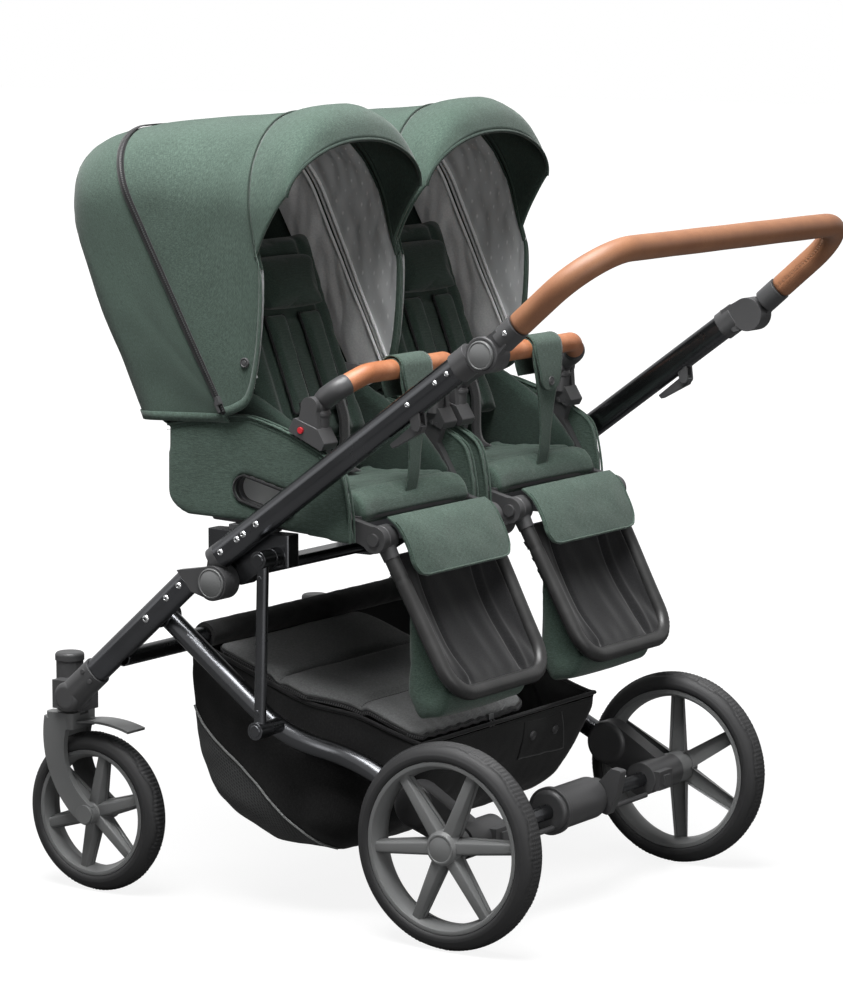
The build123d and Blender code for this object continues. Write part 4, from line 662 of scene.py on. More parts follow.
def rim(name, sign, wheel, body, node, phase, dished):
    """Moulded rim: a dished ring, six tapered spokes hollow at the back, and a hub with its cap."""
    x, y, radius, width, hub = wheel
    seat = radius - TYRE_DEEP
    half = width / 2 - 1.5
    centre = at(sign * x, y, radius)
    axis = (sign, 0, 0)
    bm = bmesh.new()
    ring = [(0, 0), (0.6, -2.5), (0, -6), (-6, -8.5)]
    dish = [(half + a, seat + r) for a, r in ring] + [(2, seat - 13)]
    dish += [(6 - half, seat - 10), (-half, seat - 6), (-half, seat), (half, seat)]
    turned_shape(bm, dish, centre, axis, 96)
    barrel = [(half + 1.5, 6.3), (half + 1.5, hub - 3), (half - 1, hub), (half - 12, hub + 1)]
    barrel += [(-half - 1, hub - 1), (-half - 1.5, hub - 3), (-half - 1.5, 6.3), (half + 1.5, 6.3)]
    turned_shape(bm, barrel, centre, axis, 48)
    inner, outer = hub - 3, seat - 7
    top = width / 2 - 4
    spoke = bmesh.new()
    for v in block(spoke, Vector(), (1, 1, 1)):
        far, front = v.co.y > 0, v.co.x > 0
        wide = (10.5 if far else 13.5) * (0.6 if front else 1.0)
        depth = top - (2.5 if far else 0) if front else top - (15 if far else 21)
        v.co = Vector((sign * depth, outer if far else inner, math.copysign(wide, v.co.z))) * MM
    bmesh.ops.recalc_face_normals(spoke, faces=spoke.faces)
    back = min(spoke.faces, key=lambda f: sign * f.calc_center_median().x)
    bmesh.ops.inset_region(spoke, faces=[back], thickness=1.8 * MM, depth=0)
    bmesh.ops.translate(spoke, vec=(sign * 7 * MM, 0, 0), verts=back.verts)
    rounding = {"offset": 1.6 * MM, "affect": "EDGES", "segments": 3, "profile": 0.5, "material": -1}
    bmesh.ops.bevel(spoke, geom=spoke.edges, **rounding)
    pour(spoke, bm, Matrix.Translation(centre) @ Matrix.Rotation(math.radians(phase), 4, "X"))
    for number in range(1, 6):
        step = Matrix.Rotation(math.radians(60), 4, "X")
        pour(spoke, bm, Matrix.Translation(centre) @ step @ Matrix.Translation(-centre))
    spoke.free()
    if dished:
        cap = [(1.4, -2.5), (3.0, -3.2), (3.2, -5.5), (2.4, -6.2), (2.6, -7.5)]
        cap = [(half + a, hub + r) for a, r in cap] + [(half + 4.4, hub * 0.42), (half + 4.8, 0)]
        turned_shape(bm, cap, centre, axis, 48)
    finish(name, bm, rim_nylon, body, [node], sharp=32)


# how far each rim is turned, rear and front, in degrees
for (side, sign), phases in zip(SIDES, ((6.5, 18), (32, 40))):
    for end, wheel, phase in zip(("rear", "front"), (REAR_WHEEL, FRONT_WHEEL), phases):
        rim_node, tyre_node, body = f"{end}_rim_{side}", f"{end}_tyre_{side}", f"{end}_wheel_{side}"
        rim(f"{rim_node}_moulding", sign, wheel, body, rim_node, phase, dished=end == "rear")
        tyre(f"{tyre_node}_tread", sign, wheel, body, tyre_node)

# ---------------------------------------------------------------- frame pieces that keep their CAD shape
FITTINGS = "front_fittings push_fittings hub_carriers brake_housing brake_pedal handle_arms".split()
SIDE_FITTINGS = ("seat_frame", "release_lever", "caster_lock", "axle_button")
DRESS = {
    tube_metal: "front_tubes rear_legs push_tubes rear_axle seat_carrier link_left link_right".split(),
    nylon_black: FITTINGS + [f"{name}_{side}" for name in SIDE_FITTINGS for side, _ in SIDES],
    nylon_grey: [f"caster_fork_{side}" for side, _ in SIDES],
    abs_red: [f"bumper_button_{side}_{end}" for side, _ in SIDES for end in "ab"],
}
for material, names in DRESS.items():
    for name in names:
        mesh = cad_nodes[name].data
        mesh.materials.clear()
        mesh.materials.append(material)

# rivets of the tubes, screws of the sleeves, and caps of the hinges as (distance along the axis, radius)
FOLD_CAP = [(4.6, 21.6), (5.6, 21.2), (6.0, 19.6), (5.2, 18.8), (5.3, 17.8), (6.6, 15.6), (6.9, 0)]
HANDLE_CAP = [(-2, 19.6), (5.4, 19.6), (6.6, 19.0), (7.0, 17.6), (6.2, 16.8), (6.3, 16.0), (7.2, 14.5)]
HANDLE_CAP += [(7.4, 0), (-2, 0), (-2, 19.6)]
SLEEVE_FACE = TUBE_PLANE + 17.6
for side, sign in SIDES:
    face, out = sign * (TUBE_OUT + 0.2), (sign, 0, 0)
    # heads as place, radius and height
    front = [(at(face, *along(*FRONT_TUBE, distance)), 4.6, 2.6) for distance in (12, 42)]
    front.append((at(face, *LEG_PIVOT), 5.6, 2.8))
    push = [(at(face, *along(*PUSH_TUBE, distance)), 4.6, 2.6) for distance in (12, 47, 61, 88)]
    push += [(at(face, *along(*PUSH_TUBE, distance)), 3.6, 2.6) for distance in (400, 455, 478)]
    sleeve = [(at(sign * SLEEVE_FACE, *along(HANDLE_PIVOT, HANDLE_BAR, 48)), 3.6, 1.8)]
    for name, body, heads in (
        ("front_rivets", "front_frame", front),
        ("push_rivets", "push_frame", push),
        ("sleeve_screw", "handle", sleeve),
    ):
        bm = bmesh.new()
        for place, radius, high in heads:
            screw(bm, place, out, radius, high)
        finish(f"{name}_{side}", bm, steel_bright, body)

    caps = bmesh.new()
    turned_shape(caps, FOLD_CAP, at(sign * TUBE_OUT, *FOLD_PIVOT), out, 64)
    finish(f"fold_disc_cap_{side}", caps, nylon_grey, "front_frame")
    caps = bmesh.new()
    turned_shape(caps, HANDLE_CAP, at(sign * TUBE_OUT, *HANDLE_PIVOT), out, 64)
    finish(f"handle_button_face_{side}", caps, nylon_grey, f"handle_button_{side}", [f"handle_button_{side}"])

# ---------------------------------------------------------------- handle grip
foot = along(HANDLE_PIVOT, HANDLE_BAR, GRIP_START)
corners = [at(TUBE_PLANE, *foot), at(TUBE_PLANE, *HANDLE_BAR)]
corners += [at(-TUBE_PLANE, *HANDLE_BAR), at(-TUBE_PLANE, *foot)]
line = rounded(corners, [HANDLE_CORNER, HANDLE_CORNER], 4.0)
inward = Vector((-1, 0, 0))


def grip_size(share, turn):
    """Leatherette with a sewn groove along its inner side, drawn in at its two ends."""
    size = GRIP_R + 0.12 * math.sin(turn * 2 + share * 40) - pressed(turn, 0.9, 0.06)
    size -= pressed(turn - 2 * math.pi, 0.9, 0.06)
    return MM * (size - 1.0 * max(0.0, 1 - min(share, 1 - share) / 0.004))


bm = bmesh.new()
wrap(bm, line, grip_size, 40, inward)
finish("grip_leatherette", bm, hide_handle, "handle", ["handle_grip"], sharp=80)
bm = bmesh.new()
spots = frames_along(line, inward)
row = [p + s * (GRIP_R - 0.55) * MM for p, _, s, _ in spots]
for point, ahead, _, _ in frames_along(spaced(row, 6.0))[1:-1]:
    near = min(spots, key=lambda s: (s[0] - point).length)
    block(bm, point, (0.9, 0.9, 4.6), facing((ahead + near[3] * 1.1).normalized()))
finish("grip_stitching", bm, thread_tan, "handle")


# ---------------------------------------------------------------- hoods
# Each row is one bow line of the hood: its foot and its crown as (y, z), half width and corner radius.
REAR_ROWS = [
    ((-352, 713), (-531, 706), 166, 46),
    ((-353, 716), (-572, 790), 168, 58),
    ((-354, 720), (-612, 872), 170, 68),
    ((-355, 723), (-643, 952), 171, 78),
    ((-356, 726), (-664, 1016), 171, 86),
    ((-357, 728), (-655, 1076), 172, 94),
    ((-357, 729), (-618, 1104), 172, 102),
    ((-357, 730), (-574, 1117), 172, 110),
]
MAIN_ROWS = [
    ((-356, 722), (-574, 1117), 172, 110),
    ((-336, 728), (-540, 1123), 172, 116),
    ((-312, 745), (-500, 1128), 172, 122),
    ((-299, 790), (-450, 1132), 172, 128),
    ((-292, 850), (-405, 1136), 172, 136),
    ((-291, 915), (-365, 1139), 172, 144),
    ((-300, 945), (-337, 1141), 172, 150),
]
VISOR_ROWS = [
    ((-301, 945), (-336, 1141), 172, 150),
    ((-288, 975), (-305, 1150), 172, 154),
    ((-272, 1003), (-274, 1152), 171, 156),
    ((-259, 1022), (-249, 1136), 169, 156),
    ((-252, 1030), (-238, 1105), 167, 160),
]


def row_at(rows, t):
    """A bow line between the given ones, by a smooth curve through them."""
    flat = [(*foot, *crown, half, corner) for foot, crown, half, corner in rows]
    place = t * (len(flat) - 1)
    k = min(int(place), len(flat) - 2)
    picked = [flat[max(0, min(len(flat) - 1, k + j))] for j in (-1, 0, 1, 2)]
    return [hermite([Vector((p[i], 0)) for p in picked], place - k).x for i in range(6)]


def round_section(s, half, high, rx, rz):
    """Half a section with a round corner, s from its middle: place across, height and the way out."""
    flat, arc, straight = half - rx, math.pi / 4 * (rx + rz), high - rz
    gone = abs(s) * (flat + arc + straight)
    if gone < flat:
        return gone, high, 0.0, 1.0
    if gone < flat + arc:
        turn = (gone - flat) / arc * math.pi / 2
        nx, nz = math.sin(turn), math.cos(turn)
        return flat + rx * nx, high - rz + rz * nz, nx, nz
    return half, straight - (gone - flat - arc), 1.0, 0.0


def bow_point(rows, t, s, lift=0.0):
    """A point of the hood: t along its length, s from -1 to 1 over it, lift outwards in millimetres."""
    foot_y, foot_z, crown_y, crown_z, half, corner = row_at(rows, t)
    high = math.hypot(crown_y - foot_y, crown_z - foot_z)
    x, up, nx, nz = round_section(s, half, high, min(corner, half), min(corner, high))
    up -= 7 * (x / half) ** 2 * (up / high)
    x, up = x + nx * lift, up + nz * lift
    share = up / high
    return Vector((math.copysign(x, s) if s else x, mix(foot_y, crown_y, share), mix(foot_z, crown_z, share)))


def hood_place(rows, t, s, lift=0.0, crease=0.0):
    """The same point in the row frame over the left seat, with fine slack in the cloth."""
    spot = bow_point(rows, t, s, lift)
    slack = noise.noise(Vector((spot.x / 46, spot.y / 60, spot.z / 60))) * 1.6
    if crease:
        slack += crease * noise.noise(Vector((spot.x / 30, spot.y / 14, spot.z / 40 + 9)))
        slack += crease * 0.7 * math.sin(spot.x / 11 + 5 * t)
    edge = min(1.0, min(t, 1 - t) * 8, (1 - abs(s)) * 10)
    centre = Vector((0, -420, 900))
    away = (spot - centre).normalized()
    spot += away * slack * edge
    return in_seat(spot.x, spot.y, spot.z)


def hood_panel(name, rows, material, body, stands_for, across, length, lift=0.0, crease=0.0, span=(0.0, 1.0)):
    """A panel of the hood over a span of its rows, its layers inside the outer one a little narrower."""
    narrow = 1.0 if lift == 0 else 0.985
    bm = bmesh.new()

    def place(u, v):
        return hood_place(rows, mix(*span, v), (2 * u - 1) * narrow, lift, crease)

    draped_grid(bm, place, across, length)
    return seat_piece(name, bm, material, body, stands_for, outward=in_seat(0, -420, 850), sharp=80)


def sampled(place, count):
    return [place(i / count) for i in range(count + 1)]


HOOD_CENTRE = in_seat(0, -420, 900)
BOW_STEPS = 90


def bow(rows, t, lift=0.0, count=BOW_STEPS, reach=1.0):
    """The line of the hood over its row t, from one foot to the other."""
    return sampled(lambda s: hood_place(rows, t, (2 * s - 1) * reach, lift), count)


def lifted(points, lift, centre=HOOD_CENTRE):
    """The points, lift millimetres further from a centre."""
    return [p + (p - centre).normalized() * lift * MM for p in points]


def stepped(edge, towards, width):
    """A second line, width millimetres from the first in the direction of another."""
    return [p + (q - p).normalized() * width * MM for p, q in zip(edge, towards)]


def strip(bm, edge, inner):
    """A band of cloth between two lines of the hood, raised off it."""
    raised = [(p - HOOD_CENTRE).normalized() * 1.6 * MM for p in edge]
    last = len(edge) - 1

    def place(u, v):
        k = round(v * last)
        return edge[k].lerp(inner[k], u) + raised[k]

    draped_grid(bm, place, 2, last)


# press stud: distance along its axis and radius
SNAP = [(-1, 7.2), (1.2, 7.2), (2.0, 6.6), (2.2, 5.4), (1.4, 4.8), (1.4, 3.6), (2.0, 3.0), (2.1, 0)]
HOOD_TURN = ("backrest", "hood_front")
STRAP_TURN = ("seat", "bumper")
made = {}


def seat_piece(name, bm, material, body, stands_for=(), thick=None, **look):
    """A piece of the left seat, kept with its body or two, the nodes it stands for and its thickness."""
    piece = finish(f"{name}_left", bm, material, **look)
    made[name] = (piece, body, stands_for, thick)
    return piece


def cord(name, points, radius, material, body, around=8):
    """A piece of the left seat that is one round cord along a line."""
    bm = bmesh.new()
    wrap(bm, points, radius * MM, around)
    seat_piece(name, bm, material, body)


thickened(hood_panel("hood_rear_panel", REAR_ROWS, cloth_green, HOOD_TURN, ["hood_rear"], 80, 34), HOOD_CLOTH)
thickened(hood_panel("hood_main_panel", MAIN_ROWS, cloth_green, HOOD_TURN, ["hood_main"], 80, 26), HOOD_CLOTH)
# Inside the hood: the silver lining with its shine painted into its colour, and the front lining, green cloth
# with painted shade.
for name, material, lift, crease, span in (
    ("hood_lining", lining_grey, -9, 3.4, (0.02, 0.37)),
    ("hood_window", mesh_grey, -8, 2.6, (0.41, 0.86)),
    ("hood_front_lining", cloth_painted_shade, -4, 0.0, (0.84, 1.0)),
):
    hood_panel(name, MAIN_ROWS, material, HOOD_TURN, [], 130, 26, lift, crease, span)
# The bow channels are the silver lining with its shine painted into the colour.
bm = bmesh.new()
for t in (0.365, 0.395, 0.425):
    wrap(bm, bow(MAIN_ROWS, t, -8 if t == 0.395 else -10, 80, 0.98), 2.6 * MM)
seat_piece("hood_bow_channel", bm, lining_grey, HOOD_TURN)
bm = bmesh.new()
for t in (0.86, 0.95):
    wrap(bm, bow(MAIN_ROWS, t, -6.5, 80, 0.98), 1.6 * MM)
seat_piece("hood_front_piping", bm, thread_green, HOOD_TURN)
# The rear lining is the green cloth with painted shade.
hood_panel("hood_rear_lining", REAR_ROWS, cloth_painted_shade, HOOD_TURN, [], 64, 26, lift=-5)
visor = hood_panel("hood_visor_panel", VISOR_ROWS, cloth_green, "hood_front", ["hood_visor"], 72, 16)
thickened(visor, VISOR_CLOTH)
# The visor lining is the green cloth with painted shade.
hood_panel("hood_visor_lining", VISOR_ROWS, cloth_painted_shade, "hood_front", [], 64, 12, lift=-4.5)

# hem of the rear panel, zip tape, front hem and visor binding
bm = bmesh.new()
hem = bow(REAR_ROWS, 0.0)
strip(bm, hem, stepped(hem, bow(REAR_ROWS, 0.14), 13))
seat_piece("hood_hem", bm, cloth_green, HOOD_TURN, thick=1.2, outward=HOOD_CENTRE)
zip_line = bow(REAR_ROWS, 1.0, 0.6, 2 * BOW_STEPS)
back = stepped(zip_line, bow(REAR_ROWS, 0.9, 0.6, 2 * BOW_STEPS), 7)
front = stepped(zip_line, bow(MAIN_ROWS, 0.1, 0.6, 2 * BOW_STEPS), 5)
bm = bmesh.new()
strip(bm, back, front)
seat_piece("hood_zip_tape", bm, webbing_black, HOOD_TURN, thick=0.9, outward=HOOD_CENTRE)
bm = bmesh.new()
for point, ahead, _, _ in frames_along(spaced(lifted(zip_line, 2.2), 3.2)):
    block(bm, point, (4.6, 1.6, 1.7), facing(ahead))
seat_piece("hood_zip_teeth", bm, nylon_black, HOOD_TURN)
cord("hood_visor_piping", bow(MAIN_ROWS, 1.0, 1.2), 1.5, thread_green, "hood_front")
# The visor binding is the green cloth with painted shade.
cord("hood_visor_binding", bow(VISOR_ROWS, 1.0, -1.5), 2.6, cloth_painted_shade, "hood_front", 10)
for end, sign in ENDS:
    bm = bmesh.new()
    edge = sampled(lambda t: hood_place(MAIN_ROWS, t, sign), 40)
    strip(bm, edge, stepped(edge, sampled(lambda t: hood_place(MAIN_ROWS, t, sign * 0.9), 40), 13))
    seat_piece(f"hood_front_hem_{end}", bm, cloth_green, HOOD_TURN, thick=1.2, outward=HOOD_CENTRE)
bm = bmesh.new()
stitches(bm, lifted(stepped(hem, bow(REAR_ROWS, 0.14), 11), 2.6))
stitches(bm, lifted(stepped(zip_line, back, 5.5), 2.2))
seat_piece("hood_stitching", bm, thread_green, HOOD_TURN)

for end, sign in ENDS:
    out = (sign, 0, 0.05)
    bm = bmesh.new()
    snap = hood_place(MAIN_ROWS, 0.42, sign * 0.93, 1.5)
    turned_shape(bm, SNAP, snap, out, 28)
    seat_piece(f"hood_snap_{end}", bm, nylon_black, HOOD_TURN)
    bm = bmesh.new()
    slider = hood_place(REAR_ROWS, 1.0, sign * 0.975, 3.5)
    turn = facing(hood_place(REAR_ROWS, 1.0, sign * 0.9, 3.5) - slider)
    block(bm, slider, (8, 6, 12), turn)
    block(bm, slider + Vector((sign * 3.4, 0, -9)) * MM, (1.6, 4.4, 17), turn)
    seat_piece(f"hood_slider_{end}", bm, nylon_black, HOOD_TURN)

BACK_WALL = [(-508, 716), (-490, 706), (-470, 690), (-468, 640), (-467, 596), (-440, 577)]
bm = bmesh.new()
line = smooth_line([in_seat(0, y, z) for y, z in BACK_WALL], 5)


def wall_offset(u, v):
    """Across the backrest, with a slight wave."""
    return Vector(((2 * u - 1) * 140 * MM, -1.5 * MM * noise.noise(Vector((u * 7, v * 5, 1))), 0))


ribbon(bm, line, 56, wall_offset)
seat_piece("back_wall", bm, cloth_green, "backrest", thick=3.0, outward=in_seat(0, -380, 680))

# ---------------------------------------------------------------- seat tub
def loose_parts(node, wanted=lambda size: True):
    """A merged copy of a CAD node's mesh, only with loose parts whose box in millimetres passes a test."""
    bm = bmesh.new()
    bm.from_mesh(cad_nodes[node].data)
    bmesh.ops.remove_doubles(bm, verts=bm.verts, dist=1e-5)
    left = set(bm.verts)
    doomed = []
    while left:
        island = {left.pop()}
        todo = list(island)
        while todo:
            for edge in todo.pop().link_edges:
                for v in edge.verts:
                    if v in left:
                        left.discard(v)
                        island.add(v)
                        todo.append(v)
        size = [max(v.co[k] for v in island) - min(v.co[k] for v in island) for k in range(3)]
        if not wanted(Vector(size) / MM):
            doomed += list(island)
    bmesh.ops.delete(bm, geom=doomed, context="VERTS")
    return bm


def seat_plate(bm, outline, half, middle=0.0):
    return plate(bm, outline, SEAT_X + middle - half, SEAT_X + middle + half)


tub = seat_piece("tub", loose_parts("seat_tub_left"), cloth_green_solid, "seat", ["seat_tub"])
remeshed(tub, 4.6, 4)


def tub_corner(p):
    """Rounds the low rear corner of the tub's sides."""
    y, z = (p.y - AXLE_Y) / MM + 422, p.z / MM - 619
    far = math.hypot(y, z)
    if y < 0 and z < 0 and far > 44:
        return Vector((p.x, p.y - y * (1 - 44 / far) * MM, p.z - z * (1 - 44 / far) * MM))
    return p


shaped(tub, tub_corner)
subdivided(tub)
bare_frame = loose_parts("backrest_left", lambda size: size.x > 252 or size.z < 250)
seat_piece("back_frame", bare_frame, nylon_black, "backrest", ["backrest"])

TUB_OUTER, TUB_INNER = 163.4, 152.4
# hand slot in each side: its middle, end radius, half run between the ends, and tilt
SLOT_MIDDLE, SLOT_R, SLOT_RUN, SLOT_TILT = (-295.5, 610.5), 18.5, 34.5, math.radians(14)
SIDE_PAD = [(-446, 606), (-250, 600), (-180, 600), (-172, 630), (-225, 690), (-275, 722), (-330, 752)]
SIDE_PAD += [(-400, 772), (-446, 760)]
TUB_EDGE = [(-463, 703), (-430, 710), (-400, 715), (-330, 723), (-273, 711), (-229, 694), (-180, 670)]
TUB_EDGE += [(-162, 650), (-151, 600), (-149, 558)]


def cushion(name, bm, material, body, skin, blow, stands_for=(), press=None):
    """A pad of the left seat: skin is (voxel, rounds), blow is (pressure, cap), press draws its seams in."""
    pad = seat_piece(name, bm, material, body, stands_for)
    remeshed(pad, *skin)
    swell(pad, *blow)
    if press:
        shaped(pad, press)
    subdivided(pad)


for end, sign in ENDS:
    for label, out in (("outer", TUB_OUTER), ("inner", TUB_INNER)):
        edge = smooth_line([in_seat(sign * out, y, z - 1.5) for y, z in TUB_EDGE], 5)
        cord(f"tub_piping_{label}_{end}", edge, 1.7, cloth_green_solid, "seat")
    bm = bmesh.new()
    drops = [9] * 7 + [1.5] * 3
    row = [in_seat(sign * (TUB_OUTER - 0.1), y, z - drop) for (y, z), drop in zip(TUB_EDGE, drops)]
    stitches(bm, smooth_line(row, 5))
    seat_piece(f"tub_stitching_{end}", bm, thread_green, "seat")
    ring = []
    for k in range(48):
        turn = 2 * math.pi * k / 48
        across, up = SLOT_R * math.cos(turn) + math.copysign(SLOT_RUN, math.cos(turn)), SLOT_R * math.sin(turn)
        y = SLOT_MIDDLE[0] + across * math.cos(SLOT_TILT) + up * math.sin(SLOT_TILT)
        z = SLOT_MIDDLE[1] - across * math.sin(SLOT_TILT) + up * math.cos(SLOT_TILT)
        ring.append(in_seat(sign * 163, y, z))
    cord(f"slot_rim_{end}", smooth_line(ring, 3, closed=True), 2.0, webbing_black, "seat", 10)
    # The slot lining is the silver lining with its shine painted into the colour.
    bm = bmesh.new()
    seat_plate(bm, [(-360, 594), (-360, 634), (-232, 634), (-232, 586), (-300, 586)], 1.0, sign * 139.5)
    seat_piece(f"slot_lining_{end}", bm, lining_grey, "seat")
    bm = bmesh.new()
    seat_plate(bm, SIDE_PAD, 8.0, sign * 126)
    # The side bolsters are the padded green cloth with painted shade.
    cushion(f"side_bolster_{end}", bm, cloth_painted_shade_solid, "seat", (5, 8), (3, 4))

# ---------------------------------------------------------------- seat pad and backrest
CROSS_SEAM = -180
SIDE_SEAM = 88


def pad_channels(p):
    """Pressed-in seams of the seat cushion: one across near its front and two along its sides."""
    y = (p.y - AXLE_Y) / MM
    x = p.x / MM - SEAT_X
    depth = pressed(y - CROSS_SEAM, 4.0, 4) + pressed(abs(x) - SIDE_SEAM, 3.5, 4) * (y < CROSS_SEAM - 6)
    depth += 1.6 * noise.noise(Vector((x / 40, y / 14, 3)))
    if p.z / MM < PAN_TOP + 14:
        roll = max(0.0, min(1.0, (y + 175) / 20))
        return p + Vector((0, 2.0 * roll, -9.0 * roll)) * MM
    return p - Vector((0, 0, depth * MM))


bm = loose_parts("seat_pad_left")
cushion("seat_cushion", bm, cloth_green_solid, "seat", (5, 4), (4, 6), ["seat_pad"], pad_channels)


def back_at(height, out):
    """The (y, z) place at a height up the backrest and out in front of its plane."""
    return tuple(BACK_PIVOT[k] + BACK_UP[k] * height + BACK_OUT[k] * out for k in (0, 1))


BACK_SEAM = 78
HEAD_SEAM = 205


def back_channels(p):
    """Sewn channels up the backrest and across under the head."""
    y, z = (p.y - AXLE_Y) / MM - BACK_PIVOT[0], p.z / MM - BACK_PIVOT[1]
    height, out = y * BACK_UP[0] + z * BACK_UP[1], y * BACK_OUT[0] + z * BACK_OUT[1]
    x = p.x / MM - SEAT_X
    depth = pressed(abs(x) - BACK_SEAM, 5, 5) + pressed(height - HEAD_SEAM, 4, 5) * (abs(x) < BACK_SEAM)
    depth += 1.5 * noise.noise(Vector((x / 30, height / 30, 5)))
    if out < 24:
        return p
    return p - Vector((0, BACK_OUT[0], BACK_OUT[1])) * depth * MM


# The back and head cushions are the padded green cloth with painted shade.
bm = bmesh.new()
seat_plate(bm, [back_at(18, 9), back_at(18, 32), back_at(334, 34), back_at(338, 16), back_at(330, 9)], 121)
cushion("back_cushion", bm, cloth_painted_shade_solid, "backrest", (6, 5), (4, 7), press=back_channels)
bm = bmesh.new()
seat_plate(bm, [back_at(222, 36), back_at(214, 62), back_at(290, 66), back_at(300, 40)], 68)
cushion("head_cushion", bm, cloth_painted_shade_solid, "backrest", (5, 6), (4, 7))

SHOULDER = 42
for end, sign in ENDS:
    bm = bmesh.new()
    seat_plate(bm, [back_at(62, 38), back_at(62, 48), back_at(210, 50), back_at(214, 40)], 24, sign * SHOULDER)
    # The shoulder pads are the padded green cloth with painted shade.
    cushion(f"shoulder_pad_{end}", bm, cloth_painted_shade_solid, "backrest", (3.5, 5), (3, 3))
    corners = [(66, -23), (66, 23), (208, 23), (208, -23)]
    ring = [in_seat(sign * SHOULDER + dx, *back_at(h, 45)) for h, dx in corners]
    dense = []
    for p, q in zip(ring, [*ring[1:], ring[0]]):
        dense += [p.lerp(q, k / 6) for k in range(6)]
    cord(f"shoulder_piping_{end}", smooth_line(dense, 4, closed=True), 1.8, webbing_black, "backrest")
    bm = bmesh.new()
    run = [(SHOULDER, *back_at(80, 50)), (41, *back_at(45, 50)), (34, -292, 640), (24, -268, 628)]
    run = smooth_line([in_seat(sign * dx, y, z) for dx, y, z in run], 6)
    ribbon(bm, run, 4, lambda u, v: Vector(((u - 0.5) * 25 * MM, 0, 0)))
    thickened(seat_piece(f"harness_web_{end}", bm, webbing_black, "seat"), WEBBING)


# ---------------------------------------------------------------- bumper bar and crotch strap
bar_end = 158 - 0.35
middle = bar_end - BUMPER_R
y, z = BUMPER_PIVOT
corners = [
    (middle, y + 4, z + 6),
    (middle - 2, y + 30, z + 24),
    (middle - 45, *BUMPER_TOP),
    (45 - middle, *BUMPER_TOP),
    (2 - middle, y + 30, z + 24),
    (-middle, y + 4, z + 6),
]


def bumper_size(share, turn):
    """Leatherette with a sewn groove under the bar."""
    return MM * (BUMPER_R - pressed(turn - 4.4, 0.8, 0.08) + 0.1 * math.sin(3 * turn + 30 * share))


def elbow_size(share, turn):
    """The elbow's sleeve over the bar, wider away from its pivot."""
    return MM * (13.2 + 2.3 * min(1, share * 5) - 0.8 * max(0, 1 - (1 - share) / 0.05))


bar = rounded([in_seat(cx, cy, cz) for cx, cy, cz in corners], [18, 30, 30, 18], 3)
leather = [p for p in bar if abs(p.x / MM - SEAT_X) < middle - 16]
bm = bmesh.new()
wrap(bm, leather, bumper_size, 36, Vector((0, 1, 0)))
seat_piece("bumper_leatherette", bm, hide_bumper, "bumper", ["bumper_bar"], sharp=80)
for end, sign in ENDS:
    bm = bmesh.new()
    run = [p for p in bar if (p.x / MM - SEAT_X) * sign > middle - 19]
    if sign < 0:
        run = run[::-1]
    pivot = in_seat(sign * middle, y, z)
    if (run[0] - pivot).length > (run[-1] - pivot).length:
        run = run[::-1]
    wrap(bm, run, elbow_size, 32)
    barrel = [(-14, 0), (-14, 12.5), (-12, 14), (12, 14), (14, 12.5), (14, 0)]
    turned_shape(bm, barrel, pivot, (sign, 0, 0), 40)
    seat_piece(f"bumper_elbow_{end}", bm, nylon_black, "bumper", sharp=35)
    bm = bmesh.new()
    screw(bm, run[len(run) // 2] + Vector((0, 14.6, 3)) * MM, (0, 1, 0.2), 3.4, 1.8)
    screw(bm, in_seat(sign * middle, y + 13.4, z + 3), (0, 1, 0.2), 3.4, 1.8)
    seat_piece(f"bumper_screws_{end}", bm, steel_bright, "bumper")
    bm = bmesh.new()
    for k in range(5):
        block(bm, in_seat(sign * 150, -238 + 9 * k, 701 - 3.2 * k), (32, 3.4, 7))
    socket = [(-32, 0), (-32, 17.2), (-9, 16.2), (-8, 17.6), (-4, 17.6), (-3, 16.0), (0, 15), (0, 0)]
    turned_shape(bm, socket, in_seat(sign * 144, y + 1, z - 4), (0, 0.12, 0.99), 40)
    seat_piece(f"bumper_socket_{end}", bm, nylon_black, "seat", sharp=35)

top_y, top_z = BUMPER_TOP
over = BUMPER_R + 1.2


def over_bar(out, turns):
    """Places round the bumper bar, out from its middle, at turns in degrees."""
    return [(top_y + out * math.cos(math.radians(a)), top_z + out * math.sin(math.radians(a))) for a in turns]


strap_path = [(-158, 606), (-151, 640), (-148, 700), (-147, 750)]
strap_path += [*over_bar(over, (-5, 30, 60, 90, 120, 150, 180)), (-182, 765), (-176, 745)]
path = smooth_line([in_seat(0, py, pz) for py, pz in strap_path], 4)
bm = bmesh.new()


def strap_half(share):
    """Half width of the crotch strap: narrow at the seat, wide over the bar."""
    return mix(14, 37, min(1, max(0, (share - 0.2) / 0.38)) ** 1.3)


ribbon(bm, path, 12, lambda u, v: Vector(((2 * u - 1) * strap_half(v) * MM, 0, 0)))
strap = seat_piece("strap_web", bm, cloth_green, STRAP_TURN, ["crotch_strap"], sharp=80)
thickened(strap, 2.2, 1.0)
flap_path = over_bar(over + 2.6, (180, 150, 120, 90, 60, 30, 0))
flap_path += [(-144.5, 768), (-143, 745), (-143.5, 722)]
path = smooth_line([in_seat(0, py, pz) for py, pz in flap_path], 3)
bm = bmesh.new()


def flap_half(share):
    """Half width of the strap's flap, which tapers to a rounded tongue."""
    left = (1 - share) * length_of(path) / MM
    taper = mix(24, 37.5, min(1, max(0, left / 60)))
    return taper * math.sqrt(max(0.02, 1 - max(0, 1 - left / 16) ** 2))


def flap_offset(u, v):
    """Across the flap, one side curling a little."""
    return Vector(((2 * u - 1) * flap_half(v) * MM, 0.8 * MM * math.sin(9 * v) * u, 0))


